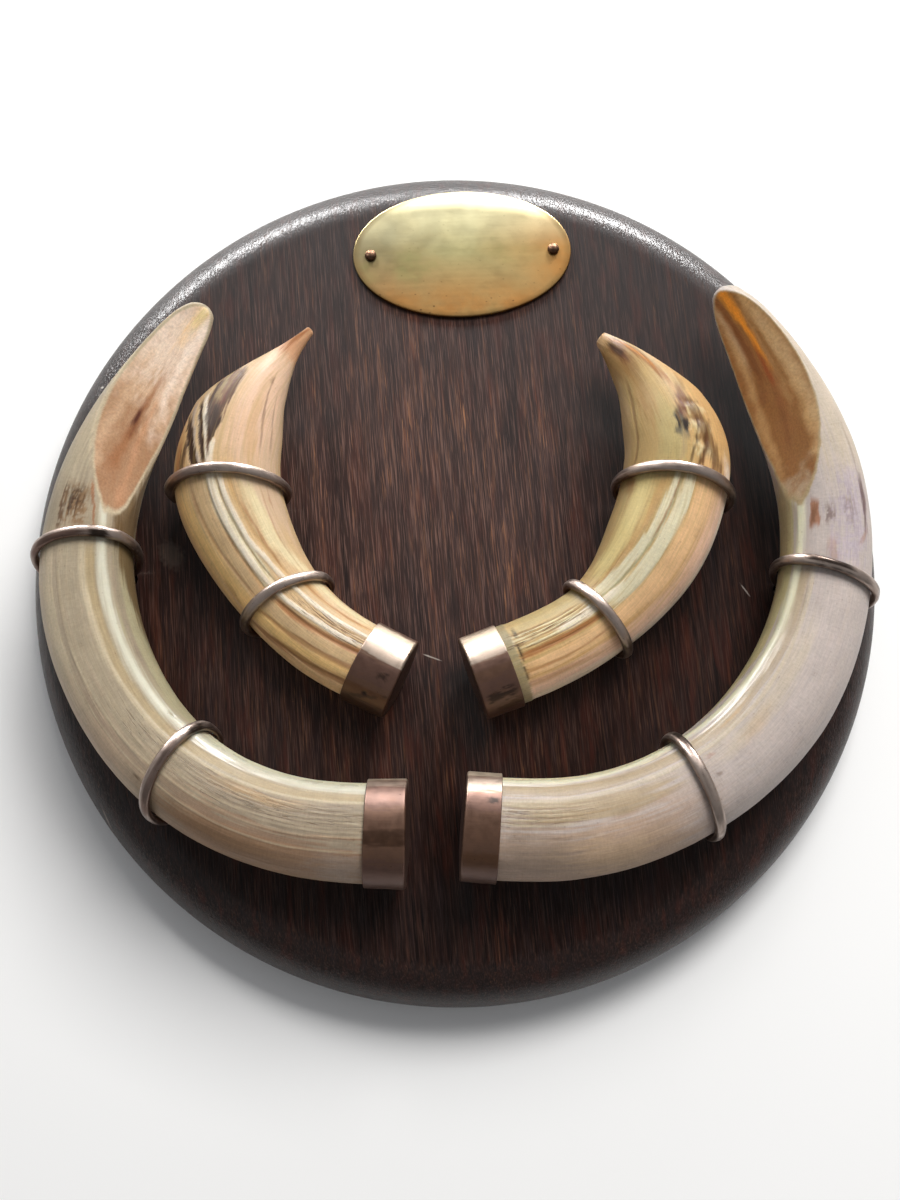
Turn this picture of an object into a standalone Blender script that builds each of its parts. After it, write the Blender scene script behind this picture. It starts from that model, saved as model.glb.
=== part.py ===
"""Two pairs of warthog tusks, capped and hooped down on a round hardwood plaque.

The plaque lies on its back: +Z is up, out of its face, and +Y points to the name plate.
The origin is the centre of the plaque's flat back. Dimensions are in millimetres and
turn into metres where a mesh is made.
"""

import math

import bmesh
import bpy
import numpy as np
from mathutils import Matrix, Vector

MM = 0.001
GAP = 0.3  # between pieces that touch in the real object

# Plaque: a turned round, a little longer along the grain, since wood shrinks across it
BOARD_RADIUS = 140.0
BOARD_ALONG_GRAIN = 1.012
BOARD_THICKNESS = 26.0
SHOULDER_WIDTH = 16.0
SHOULDER_DROP = 15.0
FOOT_ROUND = 2.0
BOARD_STEPS = 52  # a whole number in each quarter, so that the round has its full length and width
SHOULDER_STEPS = 5

# Tusks: how many rings each loft has, and how its tip lifts off the plaque
TUSK_RINGS = 26
TIP_LIFT_START = 0.52  # share of the tusk's length
TIP_LIFT_END = 1.15  # beyond the tip, so that the lift is still growing there
CAP_LIFT_END = 0.45  # share of the length over which the cap's wall still holds the tusk up
SLOPE_STEP = 0.05  # mm to either side of a place, to find its direction
FACET_REACH = 44.0  # how far the worn facet may reach across a tusk
FACET_SIDES = 0.9  # sides of the facet's roller for each mm of its radius

# Metal fittings
CAP_GAP = 0.4
CAP_WALL = 0.8
CAP_RIM = 1.2  # how much the sleeve is shorter than the length it is given
CAP_BEYOND = 1.4  # how far the sleeve runs past the sawn base
CAP_EDGE = 0.9  # how far the dome is drawn in from the sleeve
CAP_DOME = 1.4
DOME_RINGS = ((0.8, 0.82), (1.0, 0.4))  # share of the dome's rise, share of the section
WIRE_WIDTH = 3.4
WIRE_THICKNESS = 2.3
WIRE_CLEARANCE = 0.6
WIRE_SIDES = 8
HOOP_STEPS = 11  # straight runs in the arch
HOOP_REACH = 142.0  # how far round the tusk the wire hugs it, in degrees each way
HOOP_SETTLE = 4  # rounds of moving a hoop's point along the tusk until it lies in its plane
LEG_END = BOARD_THICKNESS - 12.0
LEG_HOLE_RADIUS = 2.5
LEG_HOLE_BOTTOM = LEG_END - 0.6
HOLE_SIDES = 10
CUTTER_CLEAR = 6.0  # how far a cutter stands above the plaque's face

# Name plate: a thin oval on two round-headed pins, left bare
PLATE_LENGTH = 74.5
PLATE_HEIGHT = 47.0
PLATE_THICKNESS = 1.2
PLATE_SIDES = 44
PLATE_CENTRE = (2.4, 107.2)
PLATE_TURN = math.radians(2.3)
PIN_SPACING = 62.4
PIN_HEAD_RADIUS = 2.0
PIN_HEAD_HEIGHT = 1.5
PIN_SHANK_RADIUS = 0.8
PIN_LENGTH = 8.0
PIN_POINT = 1.5
PIN_SIDES = 12
PIN_HEAD_STEPS = 3
PIN_HOLE_RADIUS = 1.15
PIN_HOLE_SPARE = 1.0  # how much deeper the hole is than the pin

SHARP_ANGLE = math.radians(40)
WELD_DISTANCE = 0.00001  # metres
EVEN_WEIGHT = 100  # how much a large face counts for the shading next to the holes
ROUGHNESS = 0.35
RELIEF_WIDTH = 15.0  # half width of the section for which a ridge has its full height

# A tusk's stations run from the sawn base, inside its cap, to the tip: where its middle lies
# on the board (x, y) and half its width there. "inner" is the side of the hollow of the curve.
# Caps have the given length. Each hoop has its distance along the middle line, its lean
# (how far it reaches towards the tip for each mm of height) and its turn in plan (degrees).
# The facet is the face worn by the opposite tusk: a point on it, its heading along the tusk
# (degrees from +X), the direction that it faces, and the radius of its slight hollow.
TUSKS = {
    "upper_tusk_left": {
        "stations": (
            (-16.6, -89.8, 15.2),
            (-46.0, -87.8, 14.6),
            (-80.0, -73.8, 14.3),
            (-105.0, -44.5, 14.5),
            (-115.4, -10.0, 14.4),
            (-109.0, 28.0, 12.8),
            (-99.8, 46.3, 11.5),
            (-89.8, 64.7, 8.6),
            (-84.0, 75.2, 5.8),
            (-81.3, 80.2, 3.4),
        ),
        "inner": 1.0,
        "kind": "upper",
        "cap_length": 11.5,
        "hoops": ((65.6, 0.30, 2.7), (142.6, 0.28, 2.4)),
        "tip_lift": 16.25,
        "facet_point": (-98.9, 36.4, 45.1),
        "facet_heading": 62.3,
        "facet_facing": (0.72, -0.11, 1.0),
        "facet_hollow": 130.0,
    },
    "upper_tusk_right": {
        "stations": (
            (4.2, -87.6, 15.2),
            (32.4, -88.3, 15.2),
            (70.0, -76.7, 14.7),
            (100.1, -49.6, 15.0),
            (114.8, -15.1, 14.2),
            (113.2, 27.2, 13.5),
            (105.2, 47.2, 12.5),
            (95.5, 67.5, 9.6),
            (89.6, 80.2, 6.2),
            (87.3, 86.6, 3.4),
        ),
        "inner": -1.0,
        "kind": "upper",
        "cap_length": 10.0,
        "hoops": ((68.2, 0.09, 5.4), (146.8, 0.12, 8.1)),
        "tip_lift": 16.25,
        "facet_point": (100.5, 41.8, 46.6),
        "facet_heading": 113.5,
        "facet_facing": (-0.93, -0.15, 1.0),
        "facet_hollow": 150.0,
    },
    "lower_tusk_left": {
        "stations": (
            (-18.6, -41.6, 12.0),
            (-39.9, -30.0, 12.5),
            (-55.6, -14.8, 13.4),
            (-66.9, 3.7, 15.6),
            (-72.6, 23.0, 16.9),
            (-71.0, 34.9, 15.9),
            (-67.5, 46.9, 13.4),
            (-61.4, 58.0, 9.2),
            (-55.0, 66.8, 5.2),
            (-48.0, 74.2, 2.8),
        ),
        "inner": 1.0,
        "kind": "lower",
        "cap_length": 13.5,
        "hoops": ((38.5, 0.25, -12.1), (80.4, 0.16, -14.0)),
        "tip_lift": 13.75,
        "facet_point": (-62.5, 60.3, 47.0),
        "facet_heading": 38.0,
        "facet_facing": (-0.62, 0.79, 0.05),
        "facet_hollow": 220.0,
    },
    "lower_tusk_right": {
        "stations": (
            (7.0, -41.4, 12.2),
            (29.0, -32.5, 12.5),
            (47.8, -20.2, 12.8),
            (61.3, -2.7, 15.8),
            (68.9, 16.7, 16.8),
            (70.4, 28.5, 16.7),
            (67.4, 41.1, 14.6),
            (62.6, 52.9, 11.2),
            (55.2, 63.9, 7.6),
            (47.8, 71.2, 3.2),
        ),
        "inner": -1.0,
        "kind": "lower",
        "cap_length": 11.5,
        "hoops": ((40.8, 0.10, -2.5), (86.7, 0.20, -7.0)),
        "tip_lift": 13.75,
        "facet_point": (60.6, 61.2, 48.0),
        "facet_heading": 144.2,
        "facet_facing": (0.58, 0.81, 0.05),
        "facet_hollow": 400.0,
    },
}

# A section is an oval: its height as a share of its width, how square it is, and the
# grooves and ridges along it, each at an angle from the top towards the inner side
# (degrees), with its height in mm and its half width in degrees.
SECTIONS = {
    "upper": {
        "tallness": 0.96,
        "squareness": 2.15,
        "relief": ((21, -0.9, 6), (48, -0.9, 9), (84, -0.5, 10)),
    },
    "lower": {
        "tallness": 0.86,
        "squareness": 1.85,
        "relief": ((-26, -0.9, 9), (5, -0.5, 4), (28, -0.8, 9)),
    },
}

# Angles round a section, in degrees: closer together where the ridges are
SIDE_ANGLES = (-165, -135, -110, -88, -68, -50, -34, -20, -6, 3, 11, 21, 32, 48, 64, 82, 102, 122)
SIDE_ANGLES += (142, 162, 178, 187)

COLOURS = {
    "wood": (0.035, 0.018, 0.013),
    "upper_ivory": (0.66, 0.55, 0.42),
    "lower_ivory": (0.68, 0.49, 0.27),
    "silver": (0.55, 0.43, 0.38),
    "wire": (0.42, 0.36, 0.34),
    "brass": (0.62, 0.46, 0.20),
    "bronze": (0.28, 0.20, 0.15),
}
METALS = ("silver", "wire", "brass", "bronze")


def material(name):
    """A plain Principled material in the colour that the piece has."""
    found = bpy.data.materials.get(name)
    if found:
        return found
    made = bpy.data.materials.new(name)
    made.use_nodes = True
    shader = made.node_tree.nodes["Principled BSDF"]
    shader.inputs["Base Color"].default_value = (*COLOURS[name], 1.0)
    shader.inputs["Metallic"].default_value = 1.0 if name in METALS else 0.0
    shader.inputs["Roughness"].default_value = ROUGHNESS
    return made


def add_object(name, data, collection, finish=None):
    made = bpy.data.objects.new(name, data)
    collection.objects.link(made)
    if finish:
        data.materials.append(material(finish))
    return made


def mesh_from(name, points, faces):
    """A mesh from points in millimetres, with its faces turned outwards."""
    mesh = bpy.data.meshes.new(name)
    mesh.from_pydata([tuple(MM * value for value in point) for point in points], [], faces)
    work = bmesh.new()
    work.from_mesh(mesh)
    bmesh.ops.recalc_face_normals(work, faces=work.faces)
    work.to_mesh(mesh)
    work.free()
    mesh.shade_smooth()
    mesh.set_sharp_from_angle(angle=SHARP_ANGLE)
    return mesh


def loft(rings, close_start=True, close_end=True):
    """Points and faces of a skin over rings that all have the same number of points."""
    count = len(rings[0])
    points = [point for ring in rings for point in ring]
    faces = []
    for row in range(len(rings) - 1):
        for side in range(count):
            after = (side + 1) % count
            low, high = row * count, (row + 1) * count
            faces.append((low + side, low + after, high + after, high + side))
    if close_start:
        faces.append(tuple(range(count)))
    if close_end:
        faces.append(tuple((len(rings) - 1) * count + side for side in range(count)))
    return points, faces


def natural_spline(knots, values, places):
    """The natural cubic spline through values at knots, read at places."""
    knots = np.asarray(knots, float)
    values = np.asarray(values, float)
    steps = np.diff(knots)
    slopes = np.diff(values, axis=0) / steps[:, None]
    count = len(knots)
    system = np.eye(count)
    right = np.zeros_like(values)
    for row in range(1, count - 1):
        system[row, row - 1 : row + 2] = (
            steps[row - 1],
            2 * (steps[row - 1] + steps[row]),
            steps[row],
        )
        right[row] = 6 * (slopes[row] - slopes[row - 1])
    bends = np.linalg.solve(system, right)
    places = np.asarray(places, float)
    cell = np.clip(np.searchsorted(knots, places) - 1, 0, count - 2)
    step = steps[cell][:, None]
    before = (places - knots[cell])[:, None]
    after = (knots[cell + 1] - places)[:, None]
    curved = (bends[cell] * after**3 + bends[cell + 1] * before**3) / (6 * step)
    straight = (values[cell] / step - bends[cell] * step / 6) * after
    straight += (values[cell + 1] / step - bends[cell + 1] * step / 6) * before
    return curved + straight


def smoothstep(low, high, value):
    share = min(max((value - low) / (high - low), 0.0), 1.0)
    return share * share * (3 - 2 * share)


class Tusk:
    """One tusk as a middle line with a section at every distance along it."""

    def __init__(self, plan):
        self.plan = plan
        self.shape = SECTIONS[plan["kind"]]
        table = np.array(plan["stations"])
        hops = np.linalg.norm(np.diff(table[:, :2], axis=0), axis=1)
        self.knots = np.concatenate(([0.0], np.cumsum(hops)))
        self.table = table
        self.length = float(self.knots[-1])

    def at(self, distance):
        """Middle (x, y), half width, and the direction towards the inner side."""
        places = (distance - SLOPE_STEP, distance, distance + SLOPE_STEP)
        rows = natural_spline(self.knots, self.table, places)
        along = Vector(rows[2][:2] - rows[0][:2]).normalized()
        inward = Vector((along.y, -along.x)) * self.plan["inner"]
        return Vector(rows[1][:2]), float(rows[1][2]), inward

    def middle_height(self, distance, half_height):
        """The section's middle above the plaque's back: flat at the base, lifting at the tip."""
        share = distance / self.length
        rise = self.plan["tip_lift"] * smoothstep(TIP_LIFT_START, TIP_LIFT_END, share)
        base = (CAP_WALL + CAP_GAP) * (1 - smoothstep(0.0, CAP_LIFT_END, share))
        return BOARD_THICKNESS + GAP + base + rise + half_height

    def outward(self, distance, angle, extra=0.0, relief=True):
        """A point of the section at an angle from the top, moved out by extra."""
        middle, half_width, inward = self.at(distance)
        half_height = half_width * self.shape["tallness"]
        turn = math.radians(angle)
        power = 2.0 / self.shape["squareness"]
        across = math.copysign(abs(math.sin(turn)) ** power, math.sin(turn))
        up = math.copysign(abs(math.cos(turn)) ** power, math.cos(turn))
        if relief:
            for centre, height, spread in self.shape["relief"]:
                away = (angle - centre) / spread
                extra += height * half_width / RELIEF_WIDTH * math.exp(-away * away)
        side = across * half_width + extra * math.sin(turn)
        rise = up * half_height + extra * math.cos(turn)
        height = self.middle_height(distance, half_height) + rise
        return (middle.x + inward.x * side, middle.y + inward.y * side, height)

    def ring(self, distance, extra=0.0, relief=True, share=1.0):
        """The section at a distance; share draws it in towards its middle."""
        points = [self.outward(distance, angle, extra, relief) for angle in SIDE_ANGLES]
        if share < 1.0:
            middle, half_width, _ = self.at(distance)
            height = self.middle_height(distance, half_width * self.shape["tallness"])
            centre = Vector((middle.x, middle.y, height))
            points = [tuple(centre + (Vector(point) - centre) * share) for point in points]
        return points


def facet_cutter(tusk, name, guides):
    """A wide roller lying across the tusk, whose underside is the hollow worn facet."""
    plan = tusk.plan
    heading = math.radians(plan["facet_heading"])
    out = Vector(plan["facet_facing"]).normalized()
    across = out.cross(Vector((math.cos(heading), math.sin(heading), 0.0))).normalized()
    along = across.cross(out)
    radius = plan["facet_hollow"]
    roll = Matrix((along, out, -across)).transposed().to_4x4()
    centre = (Vector(plan["facet_point"]) + out * radius) * MM
    bpy.ops.mesh.primitive_cylinder_add(
        vertices=int(radius * FACET_SIDES), radius=radius * MM, depth=FACET_REACH * MM
    )
    block = bpy.context.object
    block.name = name
    block.matrix_world = Matrix.Translation(centre) @ roll
    block.hide_render = True
    block.display_type = "WIRE"
    for owner in block.users_collection:
        owner.objects.unlink(block)
    guides.objects.link(block)
    return block


def cut(target, cutter):
    step = target.modifiers.new("cut_" + cutter.name, "BOOLEAN")
    step.operation = "DIFFERENCE"
    step.solver = "EXACT"
    step.object = cutter


def make_tusk(name, tusk, parts, guides):
    """The whole tusk, lofted from base to tip, then worn flat at the tip."""
    places = tusk.length * np.linspace(0.0, 1.0, TUSK_RINGS)
    points, faces = loft([tusk.ring(place) for place in places])
    finish = tusk.plan["kind"] + "_ivory"
    body = add_object(name, mesh_from(name, points, faces), parts, finish)
    cut(body, facet_cutter(tusk, name + "_facet", guides))
    return body


def make_cap(name, tusk, parts):
    """A thin metal cup over the sawn base: an open sleeve with a low dome, made solid."""
    skin = CAP_GAP + CAP_WALL
    rings = [tusk.ring(tusk.plan["cap_length"] - CAP_RIM, skin, relief=False)]
    rings.append(tusk.ring(-CAP_BEYOND, skin, relief=False))
    for rise, share in DOME_RINGS:
        place = -CAP_BEYOND - rise * CAP_DOME
        rings.append(tusk.ring(place, skin - CAP_EDGE, relief=False, share=share))
    points, faces = loft(rings, close_start=False)
    cap = add_object(name, mesh_from(name, points, faces), parts, "silver")
    wall = cap.modifiers.new("wall", "SOLIDIFY")
    wall.thickness = CAP_WALL * MM
    wall.offset = -1.0
    wall.use_even_offset = True
    return cap


def hoop_frame(tusk, hoop):
    """Where a hoop stands, and its directions across and along the tusk."""
    middle, _, inward = tusk.at(hoop[0])
    forward = Vector((-inward.y, inward.x)) * tusk.plan["inner"]
    return middle, inward, forward


def leg(end, lean):
    """The two points of a leg below one end of a hoop's arch: in the plaque, and at its face."""
    across, along, height, roll = end
    foot = along - lean * (height - BOARD_THICKNESS)
    return [(across, foot, LEG_END, roll), (across, foot, BOARD_THICKNESS, roll)]


def hoop_path(tusk, hoop):
    """The wire's middle line in its tusk's frame, leg to leg: across, along, up and roll.

    The roll turns the flattened wire about its own line, so that it lies flat on the tusk
    although the hoop leans and is turned.
    """
    distance, lean, turn = hoop
    clear = WIRE_CLEARANCE + WIRE_THICKNESS / 2
    middle, inward, forward = hoop_frame(tusk, hoop)
    slant = math.tan(math.radians(turn))
    path = []
    for step in range(HOOP_STEPS + 1):
        angle = HOOP_REACH * (2 * step / HOOP_STEPS - 1)
        place = distance
        for _ in range(HOOP_SETTLE):
            x, y, height = tusk.outward(place, angle, clear, relief=False)
            reach = Vector((x, y)) - middle
            across = reach.dot(inward)
            along = lean * (height - BOARD_THICKNESS) + slant * across
            place += along - reach.dot(forward)
        side = math.radians(angle)
        roll = lean * math.cos(side) + slant * math.sin(side)
        path.append((across, along, height, roll))
    return leg(path[0], lean) + path + leg(path[-1], lean)[::-1]


def wire_profile(guides):
    """The flattened section of the hoops' wire."""
    curve = bpy.data.curves.new("wire_profile", "CURVE")
    curve.dimensions = "2D"
    outline = curve.splines.new("POLY")
    outline.points.add(WIRE_SIDES - 1)
    for index in range(WIRE_SIDES):
        turn = -2 * math.pi * (index + 0.5) / WIRE_SIDES
        across = WIRE_THICKNESS / 2 * math.cos(turn) / math.cos(math.pi / WIRE_SIDES)
        along = WIRE_WIDTH / 2 * math.sin(turn) / math.cos(math.pi / WIRE_SIDES)
        outline.points[index].co = (MM * across, MM * along, 0.0, 1.0)
    outline.use_cyclic_u = True
    guide = add_object("wire_profile", curve, guides)
    guide.hide_render = True
    guide.display_type = "WIRE"
    return guide


def make_hoop(name, tusk, hoop, profile, parts):
    """A hoop of flattened wire over the tusk, with its legs in the plaque."""
    middle, inward, forward = hoop_frame(tusk, hoop)
    flip = forward.x * -inward.y + forward.y * inward.x
    curve = bpy.data.curves.new(name, "CURVE")
    curve.dimensions = "3D"
    curve.bevel_mode = "OBJECT"
    curve.bevel_object = profile
    curve.use_fill_caps = True
    wire = curve.splines.new("POLY")
    path = hoop_path(tusk, hoop)
    wire.points.add(len(path) - 1)
    for point, (across, along, height, roll) in zip(wire.points, path):
        point.co = (MM * across, MM * along * flip, MM * height, 1.0)
        point.tilt = roll * flip
    wire_object = add_object(name, curve, parts, "wire")
    wire_object.location = (MM * middle.x, MM * middle.y, 0.0)
    wire_object.rotation_euler.z = math.atan2(inward.y, inward.x)
    weld = wire_object.modifiers.new("weld", "WELD")
    weld.merge_threshold = WELD_DISTANCE
    return wire_object


def hole_cutter(name, places, radius, bottom, guides):
    """Round pegs, upright and clear of each other, that drill the plaque."""
    work = bmesh.new()
    height = BOARD_THICKNESS + CUTTER_CLEAR - bottom
    for x, y in places:
        move = Matrix.Translation((MM * x, MM * y, MM * (bottom + height / 2)))
        bmesh.ops.create_cone(
            work,
            cap_ends=True,
            segments=HOLE_SIDES,
            radius1=MM * radius,
            radius2=MM * radius,
            depth=MM * height,
            matrix=move,
        )
    mesh = bpy.data.meshes.new(name)
    work.to_mesh(mesh)
    work.free()
    cutter = add_object(name, mesh, guides)
    cutter.hide_render = True
    cutter.display_type = "WIRE"
    return cutter


def turned(name, outline, steps, parts, finish):
    """A turned piece from the outline of its outer side, top to bottom."""
    mesh = bpy.data.meshes.new(name)
    points = [(MM * radius, 0.0, MM * height) for radius, height in outline]
    mesh.from_pydata(points, [(row, row + 1) for row in range(len(points) - 1)], [])
    piece = add_object(name, mesh, parts, finish)
    screw = piece.modifiers.new("turn", "SCREW")
    screw.axis = "Z"
    screw.steps = steps
    screw.render_steps = steps
    screw.use_merge_vertices = True
    screw.merge_threshold = WELD_DISTANCE
    screw.use_smooth_shade = True
    return piece


def make_board(leg_places, pin_places, parts, guides):
    """The plaque: a flat face, a rounded shoulder, an upright side and a small foot round."""
    outline = [(0.0, BOARD_THICKNESS)]
    for step in range(SHOULDER_STEPS + 1):
        turn = math.pi / 2 * step / SHOULDER_STEPS
        radius = BOARD_RADIUS - SHOULDER_WIDTH + SHOULDER_WIDTH * math.sin(turn)
        outline.append((radius, BOARD_THICKNESS - SHOULDER_DROP * (1 - math.cos(turn))))
    outline += [(BOARD_RADIUS, FOOT_ROUND), (BOARD_RADIUS - FOOT_ROUND, 0.0), (0.0, 0.0)]
    board = turned("plaque", outline, BOARD_STEPS, parts, "wood")
    board.scale.y = BOARD_ALONG_GRAIN
    legs = hole_cutter("leg_holes", leg_places, LEG_HOLE_RADIUS, LEG_HOLE_BOTTOM, guides)
    pin_bottom = BOARD_THICKNESS - PIN_LENGTH - PIN_HOLE_SPARE
    pins = hole_cutter("pin_holes", pin_places, PIN_HOLE_RADIUS, pin_bottom, guides)
    cut(board, legs)
    cut(board, pins)
    even = board.modifiers.new("even_shading", "WEIGHTED_NORMAL")
    even.weight = EVEN_WEIGHT
    return board


def add_loop(curve, centre, half_length, half_height, count):
    """One closed oval in a flat curve."""
    outline = curve.splines.new("POLY")
    outline.points.add(count - 1)
    for index in range(count):
        turn = 2 * math.pi * index / count
        x = centre[0] + half_length * math.cos(turn)
        y = centre[1] + half_height * math.sin(turn)
        outline.points[index].co = (MM * x, MM * y, 0.0, 1.0)
    outline.use_cyclic_u = True


def make_plate(parts):
    """The oval brass plate, with a hole for each pin."""
    curve = bpy.data.curves.new("name_plate", "CURVE")
    curve.dimensions = "2D"
    curve.fill_mode = "BOTH"
    curve.extrude = MM * PLATE_THICKNESS / 2
    add_loop(curve, (0.0, 0.0), PLATE_LENGTH / 2, PLATE_HEIGHT / 2, PLATE_SIDES)
    for side in (-1, 1):
        place = (side * PIN_SPACING / 2, 0.0)
        add_loop(curve, place, PIN_HOLE_RADIUS, PIN_HOLE_RADIUS, HOLE_SIDES)
    plate = add_object("name_plate", curve, parts, "brass")
    height = BOARD_THICKNESS + GAP + PLATE_THICKNESS / 2
    plate.location = (MM * PLATE_CENTRE[0], MM * PLATE_CENTRE[1], MM * height)
    plate.rotation_euler.z = PLATE_TURN
    weld = plate.modifiers.new("weld", "WELD")
    weld.merge_threshold = WELD_DISTANCE
    return plate


def pin_places():
    middle = Vector(PLATE_CENTRE)
    reach = Vector((math.cos(PLATE_TURN), math.sin(PLATE_TURN))) * PIN_SPACING / 2
    return (middle - reach, middle + reach)


def make_pin(name, place, parts):
    """A round-headed bronze pin, turned in one piece."""
    outline = []
    for step in range(PIN_HEAD_STEPS + 1):
        turn = math.pi / 2 * step / PIN_HEAD_STEPS
        outline.append((PIN_HEAD_RADIUS * math.sin(turn), PIN_HEAD_HEIGHT * math.cos(turn)))
    outline.append((PIN_SHANK_RADIUS, 0.0))
    outline.append((PIN_SHANK_RADIUS, PIN_POINT - PIN_LENGTH))
    outline.append((0.0, -PIN_LENGTH))
    pin = turned(name, outline, PIN_SIDES, parts, "bronze")
    height = BOARD_THICKNESS + PLATE_THICKNESS + 2 * GAP
    pin.location = (MM * place.x, MM * place.y, MM * height)
    return pin


def build():
    for old in list(bpy.data.objects):
        bpy.data.objects.remove(old)
    parts = bpy.data.collections.new("mounted_warthog_tusks")
    guides = bpy.data.collections.new("cutters_and_guides")
    bpy.context.scene.collection.children.link(parts)
    bpy.context.scene.collection.children.link(guides)

    profile = wire_profile(guides)
    leg_places = []
    for name, plan in TUSKS.items():
        tusk = Tusk(plan)
        make_tusk(name, tusk, parts, guides)
        make_cap(name.replace("tusk", "cap"), tusk, parts)
        for end, hoop in zip(("base", "tip"), plan["hoops"]):
            make_hoop(name.replace("tusk", "hoop") + "_" + end, tusk, hoop, profile, parts)
            middle, inward, forward = hoop_frame(tusk, hoop)
            path = hoop_path(tusk, hoop)
            for across, along, _, _ in (path[0], path[-1]):
                leg_places.append(tuple(middle + inward * across + forward * along))

    pins = pin_places()
    make_board(leg_places, [tuple(place) for place in pins], parts, guides)
    make_plate(parts)
    for side, place in zip(("left", "right"), pins):
        make_pin("plate_pin_" + side, place, parts)


build()
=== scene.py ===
# %% [markdown]
# # Two pairs of warthog tusks on a round plaque
#
# The object is a wall trophy that lies on its back: a turned plaque of dark hardwood, two long
# upper tusks outside, two shorter lower tusks inside, a metal cap on every sawn base, two wire
# hoops over every tusk, and a bare oval brass plate on two pins. This file dresses the packed
# part: every piece gets a fine mesh in the place of its plain solid, and a finish made of nodes.
#
# Lengths are in millimetres until a mesh is made, because that is how a maker thinks of them.

# %% The frame that everything is built around
import math

import bpy
import numpy as np
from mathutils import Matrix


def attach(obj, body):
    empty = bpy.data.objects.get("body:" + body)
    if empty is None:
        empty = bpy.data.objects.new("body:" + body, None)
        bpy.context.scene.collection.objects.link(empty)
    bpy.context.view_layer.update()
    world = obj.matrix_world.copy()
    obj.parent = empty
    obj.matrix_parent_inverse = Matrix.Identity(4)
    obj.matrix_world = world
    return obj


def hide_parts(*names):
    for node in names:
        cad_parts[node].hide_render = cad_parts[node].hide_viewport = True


MM = 0.001
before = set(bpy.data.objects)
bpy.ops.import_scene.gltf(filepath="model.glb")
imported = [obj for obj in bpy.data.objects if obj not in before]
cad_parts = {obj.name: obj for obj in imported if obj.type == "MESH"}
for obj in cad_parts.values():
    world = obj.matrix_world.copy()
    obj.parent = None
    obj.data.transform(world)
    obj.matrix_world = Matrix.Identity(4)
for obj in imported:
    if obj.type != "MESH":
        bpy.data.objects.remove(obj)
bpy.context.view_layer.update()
print("pieces in the frame:", len(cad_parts))

# %% [markdown]
# ## Camera
#
# The photograph looks down on the plaque from about 45 cm, leaning a little towards the lower
# tusks' bases. A camera in Blender looks along its own -Z, so one turn about X tilts it.

# %% Camera
CAMERA_TILT = math.radians(12.9)
CAMERA_DISTANCE = 450.0
CAMERA_AIM = (-1.7, -14.2, 26.0)
CAMERA_LENS = 41.79

camera = bpy.data.objects.new("camera", bpy.data.cameras.new("camera"))
camera.data.lens = CAMERA_LENS
camera.data.sensor_width = 36.0
camera.data.clip_start = 0.01
camera.location = (
    MM * CAMERA_AIM[0],
    MM * (CAMERA_AIM[1] - CAMERA_DISTANCE * math.sin(CAMERA_TILT)),
    MM * (CAMERA_AIM[2] + CAMERA_DISTANCE * math.cos(CAMERA_TILT)),
)
camera.rotation_euler.x = CAMERA_TILT
scene = bpy.context.scene
scene.collection.objects.link(camera)
scene.camera = camera
scene.view_settings.view_transform = "Standard"
print("camera at", [round(value, 3) for value in camera.location])

# %% [markdown]
# ## Small tools for node trees
#
# A finish is a tree of nodes. These helpers add a node, set its values and join its sockets in
# one call, so that a material reads like a recipe. A socket given as an input is linked, and
# anything else is a plain value.


# %% Node helpers
def add_node(tree, kind, inputs=None, **settings):
    """A node with its settings made and its inputs joined or set."""
    made = tree.nodes.new(kind)
    for name, value in settings.items():
        setattr(made, name, value)
    for key, value in (inputs or {}).items():
        if isinstance(value, bpy.types.NodeSocket):
            tree.links.new(value, made.inputs[key])
        else:
            made.inputs[key].default_value = value
    return made


def maths(tree, operation, first, second=0.0, third=0.0):
    """One sum: its result is a socket."""
    inputs = {0: first, 1: second, 2: third}
    return add_node(tree, "ShaderNodeMath", inputs, operation=operation).outputs[0]


def spread(tree, value, low, high, to_low=0.0, to_high=1.0):
    """Stretches value from low..high to to_low..to_high, and holds it there."""
    inputs = {"Value": value, "From Min": low, "From Max": high, "To Min": to_low, "To Max": to_high}
    return add_node(tree, "ShaderNodeMapRange", inputs).outputs[0]


def between(tree, share, low, high):
    """The number that lies this share of the way from low to high."""
    return spread(tree, share, 0.0, 1.0, low, high)


def times(tree, first, second):
    return maths(tree, "MULTIPLY", first, second)


def total(tree, *parts):
    """Adds up any number of parts."""
    result = parts[0]
    for part in parts[1:]:
        result = maths(tree, "ADD", result, part)
    return result


def vector_maths(tree, operation, first, second=None):
    """A sum with places or colours. A length or a distance comes out as one number."""
    inputs = {0: first}
    if second is not None:
        inputs["Scale" if operation == "SCALE" else 1] = second
    made = add_node(tree, "ShaderNodeVectorMath", inputs, operation=operation)
    return made.outputs["Value" if operation in ("LENGTH", "DISTANCE") else "Vector"]


def blend(tree, share, first, second):
    """Mixes two colours: first where share is 0, second where it is 1."""
    return add_node(tree, "ShaderNodeMix", {0: share, 6: first, 7: second}, data_type="RGBA").outputs[2]


def read_mesh(tree, name, output="Fac"):
    """What a mesh has stored at its points under a name."""
    return add_node(tree, "ShaderNodeAttribute", attribute_name=name).outputs[output]


# %% [markdown]
# ## Colours
#
# Colours are written as they look, 0 to 255, the way a paint chart gives them. A shader needs
# them in linear light, which the curve below undoes.


# %% Colours
def paint(red, green, blue):
    """A colour in linear light, with full opacity."""
    seen = np.array([red, green, blue]) / 255.0
    light = np.where(seen <= 0.04045, seen / 12.92, ((seen + 0.055) / 1.055) ** 2.4)
    return (*[float(value) for value in light], 1.0)


def paint_chart(**seen):
    """Paints by name."""
    return {name: paint(*values) for name, values in seen.items()}


print("middle grey in linear light:", round(paint(128, 128, 128)[0], 3))


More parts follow.
